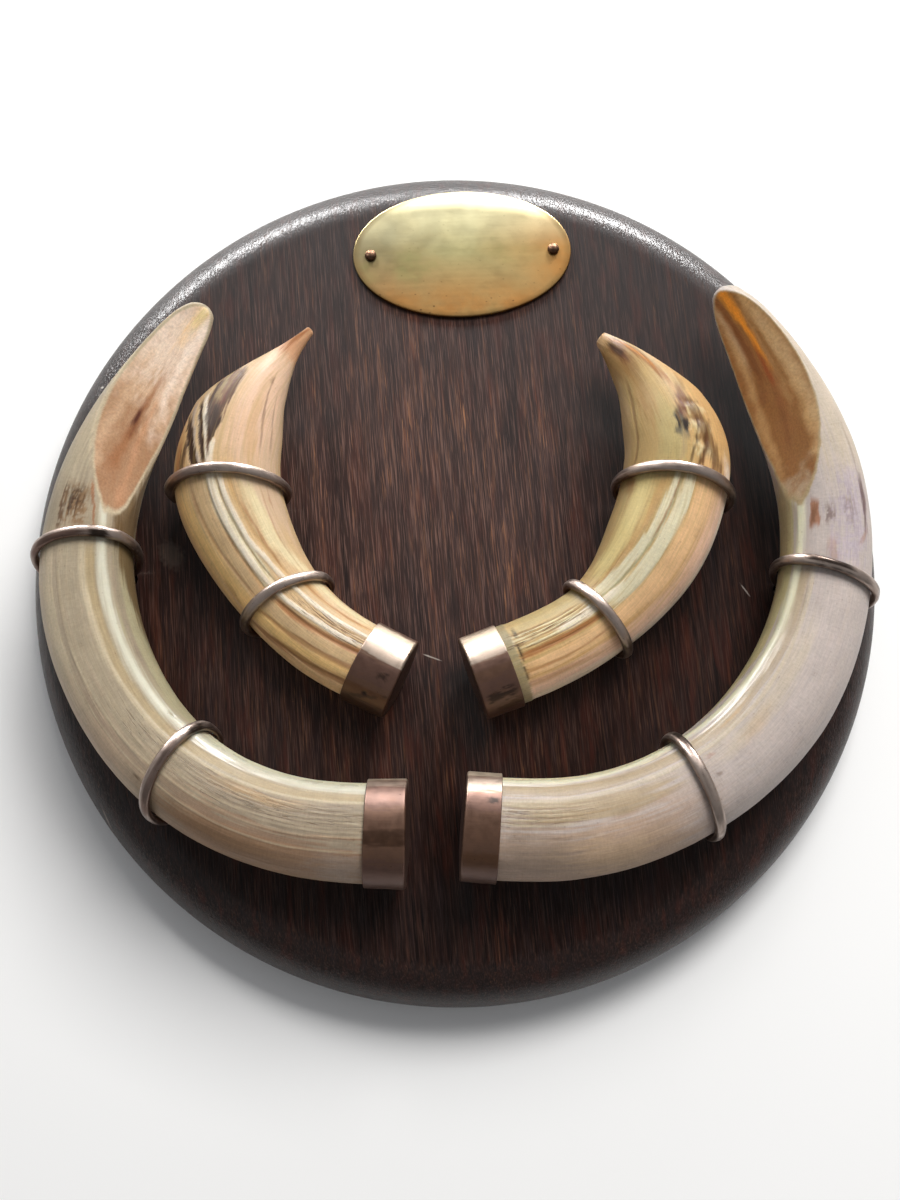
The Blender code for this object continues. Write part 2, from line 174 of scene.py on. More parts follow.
# %% [markdown]
# ## Floor, lights and room
#
# The plaque lies on a white table. One broad soft light stands at the upper right, about 50
# degrees up, and gives the soft shadows to the lower left. Two low windows beyond the top edge
# draw the two bright arcs on the plaque's rounded shoulder, and a weak skylight above them
# brightens the top of the name plate. The broad light only lights, and the others only reflect,
# so that each can be set without upsetting the rest. The room is brightest half-way up, dimmer
# towards the horizon and dark straight overhead, where the photographer stood, which keeps the
# varnish deep.

# %% Floor and lights
FLOOR_SIZE = 6000.0
FLOOR_PAINT = (0.9, 0.9, 0.9, 1.0)
FLOOR_ROUGHNESS = 0.7
LIGHT_DISTANCE = 1500.0
# Each light's azimuth from +Y towards +X and its elevation, in degrees, then width, height, watts
KEY_LIGHT = (25.5, 50.0, 800.0, 800.0, 27.0)
KEY_TINT = (1.0, 0.985, 0.96)
REFLECTED_LIGHTS = {
    "window_left": (-26.0, 19.0, 650.0, 300.0, 50.0),
    "window_right": (17.0, 19.0, 450.0, 300.0, 50.0),
    "skylight": (3.0, 42.0, 900.0, 420.0, 2.4),
}


def soft_light(name, azimuth, elevation, width, height, watts):
    """A rectangle of light that faces the plaque."""
    turn, lift = math.radians(azimuth), math.radians(elevation)
    lamp = bpy.data.lights.new(name, "AREA")
    lamp.shape = "RECTANGLE"
    lamp.size = MM * width
    lamp.size_y = MM * height
    lamp.energy = watts
    holder = bpy.data.objects.new(name, lamp)
    flat = math.cos(lift)
    holder.location = [
        MM * LIGHT_DISTANCE * math.sin(turn) * flat,
        MM * LIGHT_DISTANCE * math.cos(turn) * flat,
        MM * LIGHT_DISTANCE * math.sin(lift),
    ]
    holder.rotation_euler = (math.radians(90.0) - lift, 0.0, math.pi - turn)
    scene.collection.objects.link(holder)
    return holder


key_light = soft_light("key_light", *KEY_LIGHT)
key_light.data.color = KEY_TINT
key_light.visible_glossy = False
for light_name, values in REFLECTED_LIGHTS.items():
    soft_light(light_name, *values).visible_diffuse = False

floor_mesh = bpy.data.meshes.new("floor")
reach = MM * FLOOR_SIZE / 2
corners = [(-reach, -reach, 0.0), (reach, -reach, 0.0), (reach, reach, 0.0), (-reach, reach, 0.0)]
floor_mesh.from_pydata(corners, [], [(0, 1, 2, 3)])
floor = bpy.data.objects.new("floor", floor_mesh)
scene.collection.objects.link(floor)
floor_paint = bpy.data.materials.new("white_table")
floor_paint.use_nodes = True
table = floor_paint.node_tree.nodes["Principled BSDF"]
table.inputs["Base Color"].default_value = FLOOR_PAINT
table.inputs["Roughness"].default_value = FLOOR_ROUGHNESS
floor_mesh.materials.append(floor_paint)

# %% Room
# Elevation in degrees, and how bright the room is there
ROOM_LIGHT = ((0.0, 0.3), (22.0, 0.7), (45.0, 1.0), (59.0, 1.0), (66.0, 0.62), (74.0, 0.2), (84.0, 0.04))
ROOM_TINT = (0.97, 0.98, 1.0, 1.0)
ROOM_STRENGTH = 0.46
ROOM_NEAR, ROOM_FAR = 0.6, 1.25  # shares of that strength on the viewer's side and beyond the top edge

room = bpy.data.worlds.new("room")
room.use_nodes = True
scene.world = room
tree = room.node_tree
direction = add_node(tree, "ShaderNodeTexCoord").outputs["Generated"]
toward = add_node(tree, "ShaderNodeSeparateXYZ", {0: direction})
ramp = add_node(tree, "ShaderNodeValToRGB", {0: toward.outputs["Z"]})
ramp.color_ramp.interpolation = "EASE"
while len(ramp.color_ramp.elements) < len(ROOM_LIGHT):
    ramp.color_ramp.elements.new(0.5)
for stop, (elevation, strength) in zip(ramp.color_ramp.elements, ROOM_LIGHT):
    stop.position = math.sin(math.radians(elevation))
    stop.color = [strength * part for part in ROOM_TINT]
side_share = spread(tree, toward.outputs["Y"], -1.0, 1.0, ROOM_NEAR, ROOM_FAR)
light = times(tree, side_share, ROOM_STRENGTH)
tree.links.new(ramp.outputs["Color"], tree.nodes["Background"].inputs["Color"])
tree.links.new(light, tree.nodes["Background"].inputs["Strength"])
print("room light by elevation:", ROOM_LIGHT)

# %% [markdown]
# ## Noise that is the same every time
#
# Real surfaces are uneven. The noise below gives every whole-numbered cell of space its own
# number from -1 to 1 and glides between them. It draws nothing at random, so each run gives the
# same tusks.


# %% Noise
# Large odd numbers that scatter neighbouring cells, and the 32 bits that are kept of each product
CELL_STEPS = np.array([73856093, 19349663])
SEED_STEP = 6151
FIRST_MIX, SECOND_MIX = 1274126177, 73244475
KEPT_BITS = 0xFFFFFFFF


def cell_noise(places, seed):
    """One number from -1 to 1 for each place, which glides from cell to cell."""
    cells = np.floor(places).astype(np.int64)
    share = places - cells
    share = share * share * (3 - 2 * share)
    noise = np.zeros(places.shape[:-1])
    for step in ((0, 0), (1, 0), (0, 1), (1, 1)):
        step = np.array(step)
        weight = np.prod(np.where(step == 1, share, 1 - share), axis=-1)
        mixed = (cells + step) @ CELL_STEPS + seed * SEED_STEP
        mixed = ((mixed ^ (mixed >> 13)) * FIRST_MIX) & KEPT_BITS
        mixed = ((mixed ^ (mixed >> 16)) * SECOND_MIX) & KEPT_BITS
        noise += weight * ((mixed ^ (mixed >> 15)) / (KEPT_BITS // 2) - 1)
    return noise


def layered_noise(along, across, seed, layers):
    """Noise over a surface, with finer and weaker noise on top of it."""
    places = np.stack([along, across], -1)
    return sum(cell_noise(places * 2**layer, seed + layer) / 2**layer for layer in range(layers))


def smoothstep(low, high, value):
    """0 below low, 1 above high, and a soft S between them."""
    share = np.clip((value - low) / (high - low), 0.0, 1.0)
    return share * share * (3 - 2 * share)


print("noise along a line:", layered_noise(np.arange(5) / 3, np.zeros(5), 1, 3).round(2))

# %% [markdown]
# ## A mesh from a grid of points
#
# Tusks, caps and hoops are all made the same way: rings of points, one after the other, and a
# skin of four-sided faces between them. The ends close with one face each. A volume sum tells
# whether the faces point outwards, and turns them if not.


# %% Grid skins
def ring_faces(rings, sides):
    """Four-sided faces between the rings, and one face over each end."""
    corner = np.arange(rings * sides).reshape(rings, sides)
    after = np.roll(corner, -1, axis=1)
    faces = np.stack([corner[:-1], after[:-1], after[1:], corner[1:]], -1).reshape(-1, 4).tolist()
    faces.append(corner[0][::-1].tolist())
    faces.append(corner[-1].tolist())
    return faces


def skin_mesh(name, points):
    """A mesh over points[ring, side], in millimetres, smooth and facing outwards."""
    rings, sides = points.shape[:2]
    flat = points.reshape(-1, 3)
    faces = ring_faces(rings, sides)
    quads = np.array([face for face in faces if len(face) == 4])
    first, second, third, fourth = (flat[quads[:, index]] for index in range(4))
    volume = np.einsum("ij,ij->i", first, np.cross(second, third) + np.cross(third, fourth)).sum()
    if volume < 0:
        faces = [face[::-1] for face in faces]
    mesh = bpy.data.meshes.new(name)
    mesh.from_pydata(flat * MM, [], faces)
    mesh.shade_smooth()
    return mesh


def add_piece(name, mesh, node):
    """Puts a finished mesh in the scene, in the place of the plain solid that it stands for."""
    piece = bpy.data.objects.new(name, mesh)
    scene.collection.objects.link(piece)
    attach(piece, "root")
    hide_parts(node)
    return piece


def store(mesh, name, values):
    """Keeps numbers, vectors or colours at a mesh's points, for its material to read."""
    values = np.asarray(values, float)
    last = values.shape[-1]
    width = last if values.size > len(mesh.vertices) else 1
    kind, field = {1: ("FLOAT", "value"), 3: ("FLOAT_VECTOR", "vector"), 4: ("FLOAT_COLOR", "color")}[width]
    mesh.attributes.new(name, kind, "POINT").data.foreach_set(field, values.ravel())


print("faces over 3 rings of 4 points:", len(ring_faces(3, 4)))

# %% [markdown]
# ## The shape of a tusk
#
# A tusk is a tooth that grows in a curve. Its middle line is a smooth spline through a few
# stations, and its section is a rounded oval that is a little squarer than an ellipse. Angles
# round a section start at the top and run towards the inner side of the curve. Near the tip
# the opposite tooth has worn a face on it, as a wide roller would.

# %% Tusk plans
BOARD_TOP = 26.0
GAP = 0.3  # between the plaque and what lies on it
CAP_GAP = 0.4
CAP_WALL = 0.8

# Stations are x, y and half the width, from base to tip, and hoops are (distance, lean, turn).
# Inner is the side that the curve bends towards, and cap is how much of the base is covered.
# The worn face passes through worn_at, and it is cut by a roller whose radius is hollow.
TUSKS = {
    "upper_tusk_left": dict(
        stations=((-16.6, -89.8, 15.2), (-46, -87.8, 14.6), (-80, -73.8, 14.3), (-105, -44.5, 14.5),
                  (-115.4, -10, 14.4), (-109, 28, 12.8), (-99.8, 46.3, 11.5), (-89.8, 64.7, 8.6),
                  (-84, 75.2, 5.8), (-81.3, 80.2, 3.4)),
        inner=1, cap=11.5, hoops=((65.6, 0.30, 2.7), (142.6, 0.28, 2.4)), lift=13.0,
        worn_at=(-98.9, 36.4, 45.1), heading=62.3, facing=(0.72, -0.11, 1.0), hollow=130.0,
    ),
    "upper_tusk_right": dict(
        stations=((4.2, -87.6, 15.2), (32.4, -88.3, 15.2), (70, -76.7, 14.7), (100.1, -49.6, 15),
                  (114.8, -15.1, 14.2), (113.2, 27.2, 13.5), (105.2, 47.2, 12.5), (95.5, 67.5, 9.6),
                  (89.6, 80.2, 6.2), (87.3, 86.6, 3.4)),
        inner=-1, cap=10.0, hoops=((68.2, 0.09, 5.4), (146.8, 0.12, 8.1)), lift=13.0,
        worn_at=(100.5, 41.8, 46.6), heading=113.5, facing=(-0.93, -0.15, 1.0), hollow=150.0,
    ),
    "lower_tusk_left": dict(
        stations=((-18.6, -41.6, 12), (-39.9, -30, 12.5), (-55.6, -14.8, 13.4), (-66.9, 3.7, 15.6),
                  (-72.6, 23, 16.9), (-71, 34.9, 15.9), (-67.5, 46.9, 13.4), (-61.4, 58, 9.2),
                  (-55, 66.8, 5.2), (-48, 74.2, 2.8)),
        inner=1, cap=13.5, hoops=((38.5, 0.25, -12.1), (80.4, 0.16, -14.0)), lift=11.0,
        worn_at=(-62.5, 60.3, 47), heading=38.0, facing=(-0.62, 0.79, 0.05), hollow=220.0,
    ),
    "lower_tusk_right": dict(
        stations=((7, -41.4, 12.2), (29, -32.5, 12.5), (47.8, -20.2, 12.8), (61.3, -2.7, 15.8),
                  (68.9, 16.7, 16.8), (70.4, 28.5, 16.7), (67.4, 41.1, 14.6), (62.6, 52.9, 11.2),
                  (55.2, 63.9, 7.6), (47.8, 71.2, 3.2)),
        inner=-1, cap=11.5, hoops=((40.8, 0.10, -2.5), (86.7, 0.20, -7.0)), lift=11.0,
        worn_at=(60.6, 61.2, 48), heading=144.2, facing=(0.58, 0.81, 0.05), hollow=400.0,
    ),
}
SECTIONS = {"upper": dict(tallness=0.96, squareness=2.15), "lower": dict(tallness=0.86, squareness=1.85)}
print("tusk plans:", {name: len(plan["stations"]) for name, plan in TUSKS.items()}, "stations")


# %% Spline through the stations
def natural_spline(knots, values, places):
    """The natural cubic spline through values at knots, read at any array of places."""
    steps = np.diff(knots)
    slopes = np.diff(values, axis=0) / steps[:, None]
    count = len(knots)
    system = np.eye(count)
    right = np.zeros_like(values)
    for row in range(1, count - 1):
        system[row, row - 1 : row + 2] = steps[row - 1], 2 * (steps[row - 1] + steps[row]), steps[row]
        right[row] = 6 * (slopes[row] - slopes[row - 1])
    bends = np.linalg.solve(system, right)
    cell = np.clip(np.searchsorted(knots, places) - 1, 0, count - 2)
    step = steps[cell][..., None]
    before = (places - knots[cell])[..., None]
    after = (knots[cell + 1] - places)[..., None]
    curved = (bends[cell] * after**3 + bends[cell + 1] * before**3) / (6 * step)
    straight = (values[cell] / step - bends[cell] * step / 6) * after
    straight += (values[cell + 1] / step - bends[cell + 1] * step / 6) * before
    return curved + straight


three = np.arange(3.0)
print("spline through 0, 1, 4 at 1.5:", natural_spline(three, three[:, None] ** 2, np.array([1.5])))

# %% [markdown]
# The class below holds one tusk's plan and answers three questions: where its middle is at a
# distance along it, where a point of its skin is, and how the worn face cuts that skin. The
# cut draws each point in towards a core that lies below the face, so the grid of points stays
# even and no face of the mesh folds over at the rim.


# %% Tusk shape
STEP_FOR_SLOPE = 0.05
LIFT_SCALE = 1.25
LIFT_FROM, LIFT_TO = 0.52, 1.15  # shares of the length between which the middle line rises
LEVEL_BY = 0.45  # the cap's wall holds the base up, and by this share the tusk has come down
FACE_PASSES = 3  # the face is curved, so its distance is worked out a few times over
RIM_EASE = 0.08  # the rim of the face is rounded over this share of the way out
TINY, HUGE = 1e-6, 50.0


class Tusk:
    """One tusk's plan, and the shape that follows from it. Angles are in degrees."""

    def __init__(self, name):
        self.name = name
        self.plan = TUSKS[name]
        self.kind = name.split("_")[0]
        self.shape = SECTIONS[self.kind]
        self.table = np.array(self.plan["stations"], float)
        hops = np.linalg.norm(np.diff(self.table[:, :2], axis=0), axis=1)
        self.knots = np.concatenate(([0.0], np.cumsum(hops)))
        self.length = float(self.knots[-1])

    def at(self, distance):
        """Middle (x, y), half width and the direction towards the inner side."""
        before, here, after = (
            natural_spline(self.knots, self.table, np.asarray(distance, float) + step)
            for step in (-STEP_FOR_SLOPE, 0.0, STEP_FOR_SLOPE)
        )
        along = after[..., :2] - before[..., :2]
        along /= np.linalg.norm(along, axis=-1, keepdims=True)
        inward = np.stack([along[..., 1], -along[..., 0]], -1) * self.plan["inner"]
        return here[..., :2], here[..., 2], inward

    def middle(self, distance):
        """The middle of the section in space: flat at the base, lifting at the tip."""
        flat, half_width, _ = self.at(distance)
        lifting = smoothstep(LIFT_FROM * self.length, LIFT_TO * self.length, distance)
        rise = LIFT_SCALE * self.plan["lift"] * lifting
        base = (CAP_WALL + CAP_GAP) * (1 - smoothstep(0.0, LEVEL_BY * self.length, distance))
        height = BOARD_TOP + GAP + base + rise + half_width * self.shape["tallness"]
        return np.concatenate([flat, height[..., None]], -1)

    def skin(self, distance, angle, extra=0.0):
        """A point of the skin, moved out by extra."""
        distance, angle = np.broadcast_arrays(np.asarray(distance, float), np.asarray(angle, float))
        _, half_width, inward = self.at(distance)
        turn = np.radians(angle)
        power = 2.0 / self.shape["squareness"]
        sine, cosine = np.sin(turn), np.cos(turn)
        across = np.sign(sine) * np.abs(sine) ** power * half_width + extra * sine
        up = np.sign(cosine) * np.abs(cosine) ** power * half_width * self.shape["tallness"]
        offset = np.stack([inward[..., 0] * across, inward[..., 1] * across, up + extra * cosine], -1)
        return self.middle(distance) + offset

    def worn(self, distance, points):
        """Cuts the worn face. Gives the points, the depth that was cut away, and the core."""
        out = np.array(self.plan["facing"]) / np.linalg.norm(self.plan["facing"])
        heading = math.radians(self.plan["heading"])
        across = np.cross(out, [math.cos(heading), math.sin(heading), 0.0])
        along = np.cross(across / np.linalg.norm(across), out)
        corner = np.array(self.plan["worn_at"])
        middle = self.middle(distance)

        def limit(places):
            return ((places - corner) @ along) ** 2 / (2 * self.plan["hollow"])

        _, half_width, _ = self.at(distance)
        height = (middle - corner) @ out
        start = np.minimum(height, (height - half_width + limit(middle)) / 2)
        core = middle - (height - start)[..., None] * out
        reach = points - core
        rise = reach @ out
        share = np.ones_like(rise)
        for _ in range(FACE_PASSES):
            face = limit(core + reach * share[..., None]) - start
            cut = np.clip(face / np.maximum(rise, TINY), 0.0, HUGE)
            gap = np.clip(0.5 + (cut - 1.0) / RIM_EASE, 0.0, 1.0)
            eased = cut * (1 - gap) + gap - RIM_EASE / 2 * gap * (1 - gap)  # about min(cut, 1)
            share = np.where((rise > TINY) & (distance > self.length / 2), eased, 1.0)
        kept = core + reach * share[..., None]
        return kept, np.linalg.norm(points - kept, axis=-1), core


tusks = {name: Tusk(name) for name in TUSKS}
print({name: round(tusk.length, 1) for name, tusk in tusks.items()})

# %% [markdown]
# ## Painting by strokes
#
# The tusks are not one colour. Long bands of enamel, cement and stain run from base to tip, and
# a person would paint them with long strokes. A stroke here follows a few points on the tusk,
# each a distance from the base and an angle from the top. It has a width in degrees and a paint,
# and it may also raise or sink the surface, because most of these bands are ridges and grooves.
# Its edges are ragged along the grain, as a dry brush leaves them. A broken stroke is worn
# through in places, and a hatched one is a stain that sits in crossing cracks. The result is
# stored at the mesh's points.

# %% Paints
PAINTS = paint_chart(
    white=(208, 205, 186), chalk=(224, 212, 192), cream=(230, 220, 180), pale=(214, 211, 182),
    straw=(214, 206, 176), lemon=(222, 204, 142), khaki=(176, 164, 116), sand=(190, 175, 148),
    bone=(163, 149, 127), ash=(166, 153, 142), fawn=(168, 140, 118), taupe=(138, 122, 106),
    clay=(154, 122, 97), dust=(112, 92, 76), tan=(169, 149, 113), olive=(164, 157, 124),
    moss=(96, 72, 42), umber=(92, 60, 36), saddle=(130, 98, 66), soot=(60, 38, 24),
    ink=(36, 25, 18), plum=(74, 34, 30), ochre=(156, 132, 84), honey=(196, 156, 104),
    saffron=(246, 204, 136), gold=(200, 170, 130), wheat=(182, 156, 106), mahogany=(100, 46, 22),
    rust=(148, 90, 50), brick=(146, 62, 26), apricot=(205, 151, 114), amber=(232, 146, 42),
    leather=(144, 92, 38), peach=(209, 176, 144), blush=(206, 178, 152), rose=(164, 126, 95),
    petal=(246, 229, 212), biscuit=(228, 188, 144), salmon=(232, 192, 166), lichen=(142, 132, 102),
    mist=(183, 171, 165), lilac=(176, 163, 172), slate=(80, 78, 70), copper=(102, 75, 60),
    mauve=(98, 72, 62), silver=(156, 140, 126), pale_silver=(166, 150, 130), wire=(166, 150, 140),
)
print("paints:", len(PAINTS))


# %% Strokes
SWING_LENGTH = 9.0  # mm of a stroke's edge from one gentle swing to the next
FIBRE_WIDTH = 2.4  # degrees round the tusk from one dry fibre of the brush to the next
FIBRE_SHARE, SHORTEST_FIBRE, LONGEST_FIBRE = 0.3, 1.0, 15.0  # a share of the stroke, between limits in mm
CROSS_FIBRE = (4.0, 18.0)  # mm and degrees, for strokes on the worn face
RAGGED = 0.22  # how far the fibres reach into a stroke's edge, as a share of its half width


def stroke(name, path, wide, strength=1.0, raised=0.0, broken=0.0, soft=0.6, fade=4.0, hatched=False):
    """One painted band. Wide is half its width in degrees: a number, or several from start to end."""
    return dict(name=name, path=path, wide=wide, strength=strength, raised=raised,
                broken=broken, soft=soft, fade=fade, hatched=hatched)


def stroke_mask(band, distance, angle, seed, across=False):
    """How strongly a stroke covers each point, from 0 to 1, and the same with smooth edges.

    Inside is 1 on the stroke's middle line and 0 at its edge. Fibres run along the grain and
    roughen it, and a hatched stroke is kept only where cracks run along or cross them.
    """
    path = np.array(band["path"], float)
    wide = np.atleast_1d(np.array(band["wide"], float))
    wide = np.interp(distance, np.linspace(path[0, 0], path[-1, 0], len(wide)), wide)
    centre = np.interp(distance, path[:, 0], path[:, 1])
    swing = cell_noise(np.stack([distance / SWING_LENGTH, 0 * distance], -1), seed)
    inside = 1.0 - np.abs(angle - centre - (0.4 + 0.06 * wide) * swing) / wide
    grain = np.clip(FIBRE_SHARE * (path[-1, 0] - path[0, 0]), SHORTEST_FIBRE, LONGEST_FIBRE)
    size, layers = (CROSS_FIBRE, 3) if across else ((grain, FIBRE_WIDTH), 4)
    fibre = layered_noise(distance / size[0], angle / size[1], seed + 50, layers)
    worn = inside + (RAGGED + 0.6 * band["broken"]) * fibre - 0.3 * band["broken"]
    if band["hatched"]:
        along = layered_noise(distance / 3.5, angle / 1.6, seed + 60, 3)
        crossing = layered_noise(distance / 0.7, angle / 8.0, seed + 61, 3)
        worn = worn * smoothstep(-0.5, 1.1, np.maximum(along, crossing) + 0.3 * fibre)
    fade = band["fade"]
    place = distance + 0.5 * fade * fibre
    ends = smoothstep(path[0, 0] - fade, path[0, 0] + fade, place)
    ends = ends * (1 - smoothstep(path[-1, 0] - fade, path[-1, 0] + fade, place))
    return ends * smoothstep(0.0, band["soft"], worn), ends * smoothstep(0.0, band["soft"], inside)


def painted(ground, strokes, distance, angle, seed, across=False):
    """Lays strokes over a ground colour, in order. Gives the colours and the heights."""
    colour = np.empty((*distance.shape, 4))
    colour[:] = PAINTS[ground]
    height = np.zeros(distance.shape)
    for index, band in enumerate(strokes):
        mask, swell = stroke_mask(band, distance, angle, seed + 7 * index, across)
        share = (mask * band["strength"])[..., None]
        colour = colour * (1 - share) + np.array(PAINTS[band["name"]]) * share
        height += band["raised"] * (0.5 * swell + 0.5 * swell * mask)
    return colour, height


def covered(band, distance, angle, seed):
    """A stroke without paint, for a mask such as where the ivory is polished."""
    return band["strength"] * stroke_mask(band, distance, angle, seed)[0]



# %% [markdown]
# ## Upper tusks
#
# Both upper tusks are matte and greyish on the outside of the curve. A rounded, polished ridge
# of enamel runs along the inner half, with a tan groove before it and an olive side behind it.
# Near the caps the outer half is finely cracked along its length, and beyond the second hoop a
# brown stain sits in the cracks. The wide face at the tip is worn into the dentine: orange and
# brown inside, with a thin pale rim of enamel.

# %% Upper left tusk
MARKS = {}
MARKS["upper_tusk_left"] = dict(
    ground="bone", face="rose", rim="sand", edge=(0.6, 1.0),
    polish=stroke("", ((0, 62), (60, 62), (84, 46), (126, 32), (165, 27)), (24, 10), soft=0.5),
    crackle=stroke("", ((0, 10), (70, 8), (96, 0)), (22, 14), soft=0.5, fade=12),
)
MARKS["upper_tusk_left"]["strokes"] = [
    stroke("clay", ((0, -68), (68, -68)), 62, 0.9, soft=0.12, fade=12),
    stroke("ash", ((10, -52), (22, -52)), 40, 0.6, soft=0.5, fade=8),
    stroke("saddle", ((36, -46), (68, -46)), 24, 0.45, soft=0.8, fade=12),
    stroke("blush", ((76, -66), (150, -66)), 62, 0.6, soft=0.2, fade=10),
    stroke("straw", ((104, -40), (150, -36)), 42, 0.4, soft=0.8, fade=14),
    stroke("bone", ((78, -4), (100, -12), (150, -12)), 16, 0.7, soft=0.4, fade=8),
    stroke("bone", ((152, -50), (238, -40)), 76, 0.75, soft=0.4, fade=3),
    stroke("sand", ((168, -60), (238, -50)), 62, 0.85, soft=0.5, fade=9),
    stroke("pale", ((0, 92), (72, 92)), 40, 0.9, soft=0.3, fade=8),
    stroke("olive", ((76, 88), (100, 78), (152, 68)), (36, 28), 0.75, soft=0.4, fade=8),
    stroke("taupe", ((96, 52), (150, 50)), 9, 0.6, soft=0.8, fade=10),
    stroke("moss", ((112, 96), (136, 84), (150, 74), (176, 72)), (18, 38), 0.85, soft=0.5, fade=14),
    stroke("taupe", ((12, 9), (66, 9)), 20, 0.5, soft=0.3, fade=8),
    stroke("honey", ((32, 18), (58, 16)), 9, 0.35, 0, 0.3, fade=8),
    stroke("tan", ((0, 39), (60, 36), (80, 27), (100, 22), (120, 17), (148, 14)), (10, 7), 0.8, -0.22,
           soft=0.5),
    stroke("taupe", ((12, -17), (66, -18), (80, -23), (100, -28), (146, -27)), (7, 5), 0.45, -0.05,
           soft=0.4),
    stroke("sand", ((0, -22), (30, -26), (70, -26.5), (100, -32), (146, -33)), 1.7, 0.5, 0.07),
    stroke("sand", ((12, -8), (30, -10.5), (70, -11), (84, -17), (118, -23)), 1.7, 0.4, 0.1, 0.2),
    *[stroke("sand", ((12, start), (68, start - 3)), 1.2, 0.35, 0.1, 0.4)
      for start in (-3, 1, 6, 10, 15, 21)],
    *[stroke("dust", ((12, start), (60, start - 3)), 0.9, 0.3, -0.05, 0.6) for start in (-6, 4, 13, 18)],
    stroke("sand", ((0, 31), (30, 30), (50, 27.5), (70, 23), (84, 18), (100, 13), (118, 9), (148, 5)),
           (3.4, 6), 0.85, 0.12, soft=0.8),
    stroke("white", ((0, 55), (40, 57), (60, 57), (72, 52), (84, 44), (100, 37), (126, 32), (165, 27)),
           (15, 10), 0.95, 0.3, soft=0.9),
    stroke("moss", ((82, 47), (85, 45)), 3, 0.5, -0.3, 0.2, fade=1.2),
    stroke("umber", ((76, -38), (78, -38)), 3, 0.6, -0.05, 0.2, fade=1),
    stroke("umber", ((152, -27), (166, -27)), 6, 0.8, soft=0.5, fade=2, hatched=True),
    stroke("saddle", ((154, -8), (166, -10)), 22, 0.85, soft=0.5, fade=2.5, hatched=True),
    stroke("soot", ((156, -14), (165, -8)), 14, 0.8, soft=0.6, fade=2.5, hatched=True),
    stroke("rust", ((152, 17), (160, 14), (168, 4)), 2.4, 0.7, 0, 0.3, fade=1.5),
    stroke("moss", ((150, 48), (166, 50)), 10, 0.7, soft=0.6, fade=3),
]
print(len(MARKS["upper_tusk_left"]["strokes"]), "bands")

# %% Upper left tusk, worn face
MARKS["upper_tusk_left"]["face_strokes"] = [
    stroke("peach", ((200, 10), (240, 10)), 200, 0.85, soft=0.2, fade=16),
    stroke("petal", ((210, 0), (240, 0)), 200, 0.62, soft=0.2, fade=14),
    stroke("peach", ((172, -2), (186, -14), (206, -20)), 16, 0.6, soft=1, fade=8),
    stroke("petal", ((196, 98), (238, 104)), 22, 0.7, soft=1, fade=8),
    stroke("apricot", ((164, 50), (176, 60), (204, 84)), 14, 0.4, soft=1, fade=6),
    stroke("rust", ((172, 20), (186, 34), (198, 46), (212, 66)), (22, 30), 0.55, soft=1, fade=8),
    stroke("mahogany", ((187, 40), (200, 44)), 22, 0.6, soft=1, fade=4),
    stroke("plum", ((191.5, 37), (197, 38)), 15, 1, -0.1, soft=0.9, fade=1.8),
    stroke("saffron", ((226, 40), (238, 40)), 60, 0.5, soft=0.8, fade=8),
    stroke("lemon", ((231, 50), (238, 50)), 50, 0.7, soft=0.8, fade=4),
]
print(len(MARKS["upper_tusk_left"]["face_strokes"]), "marks on the worn face")

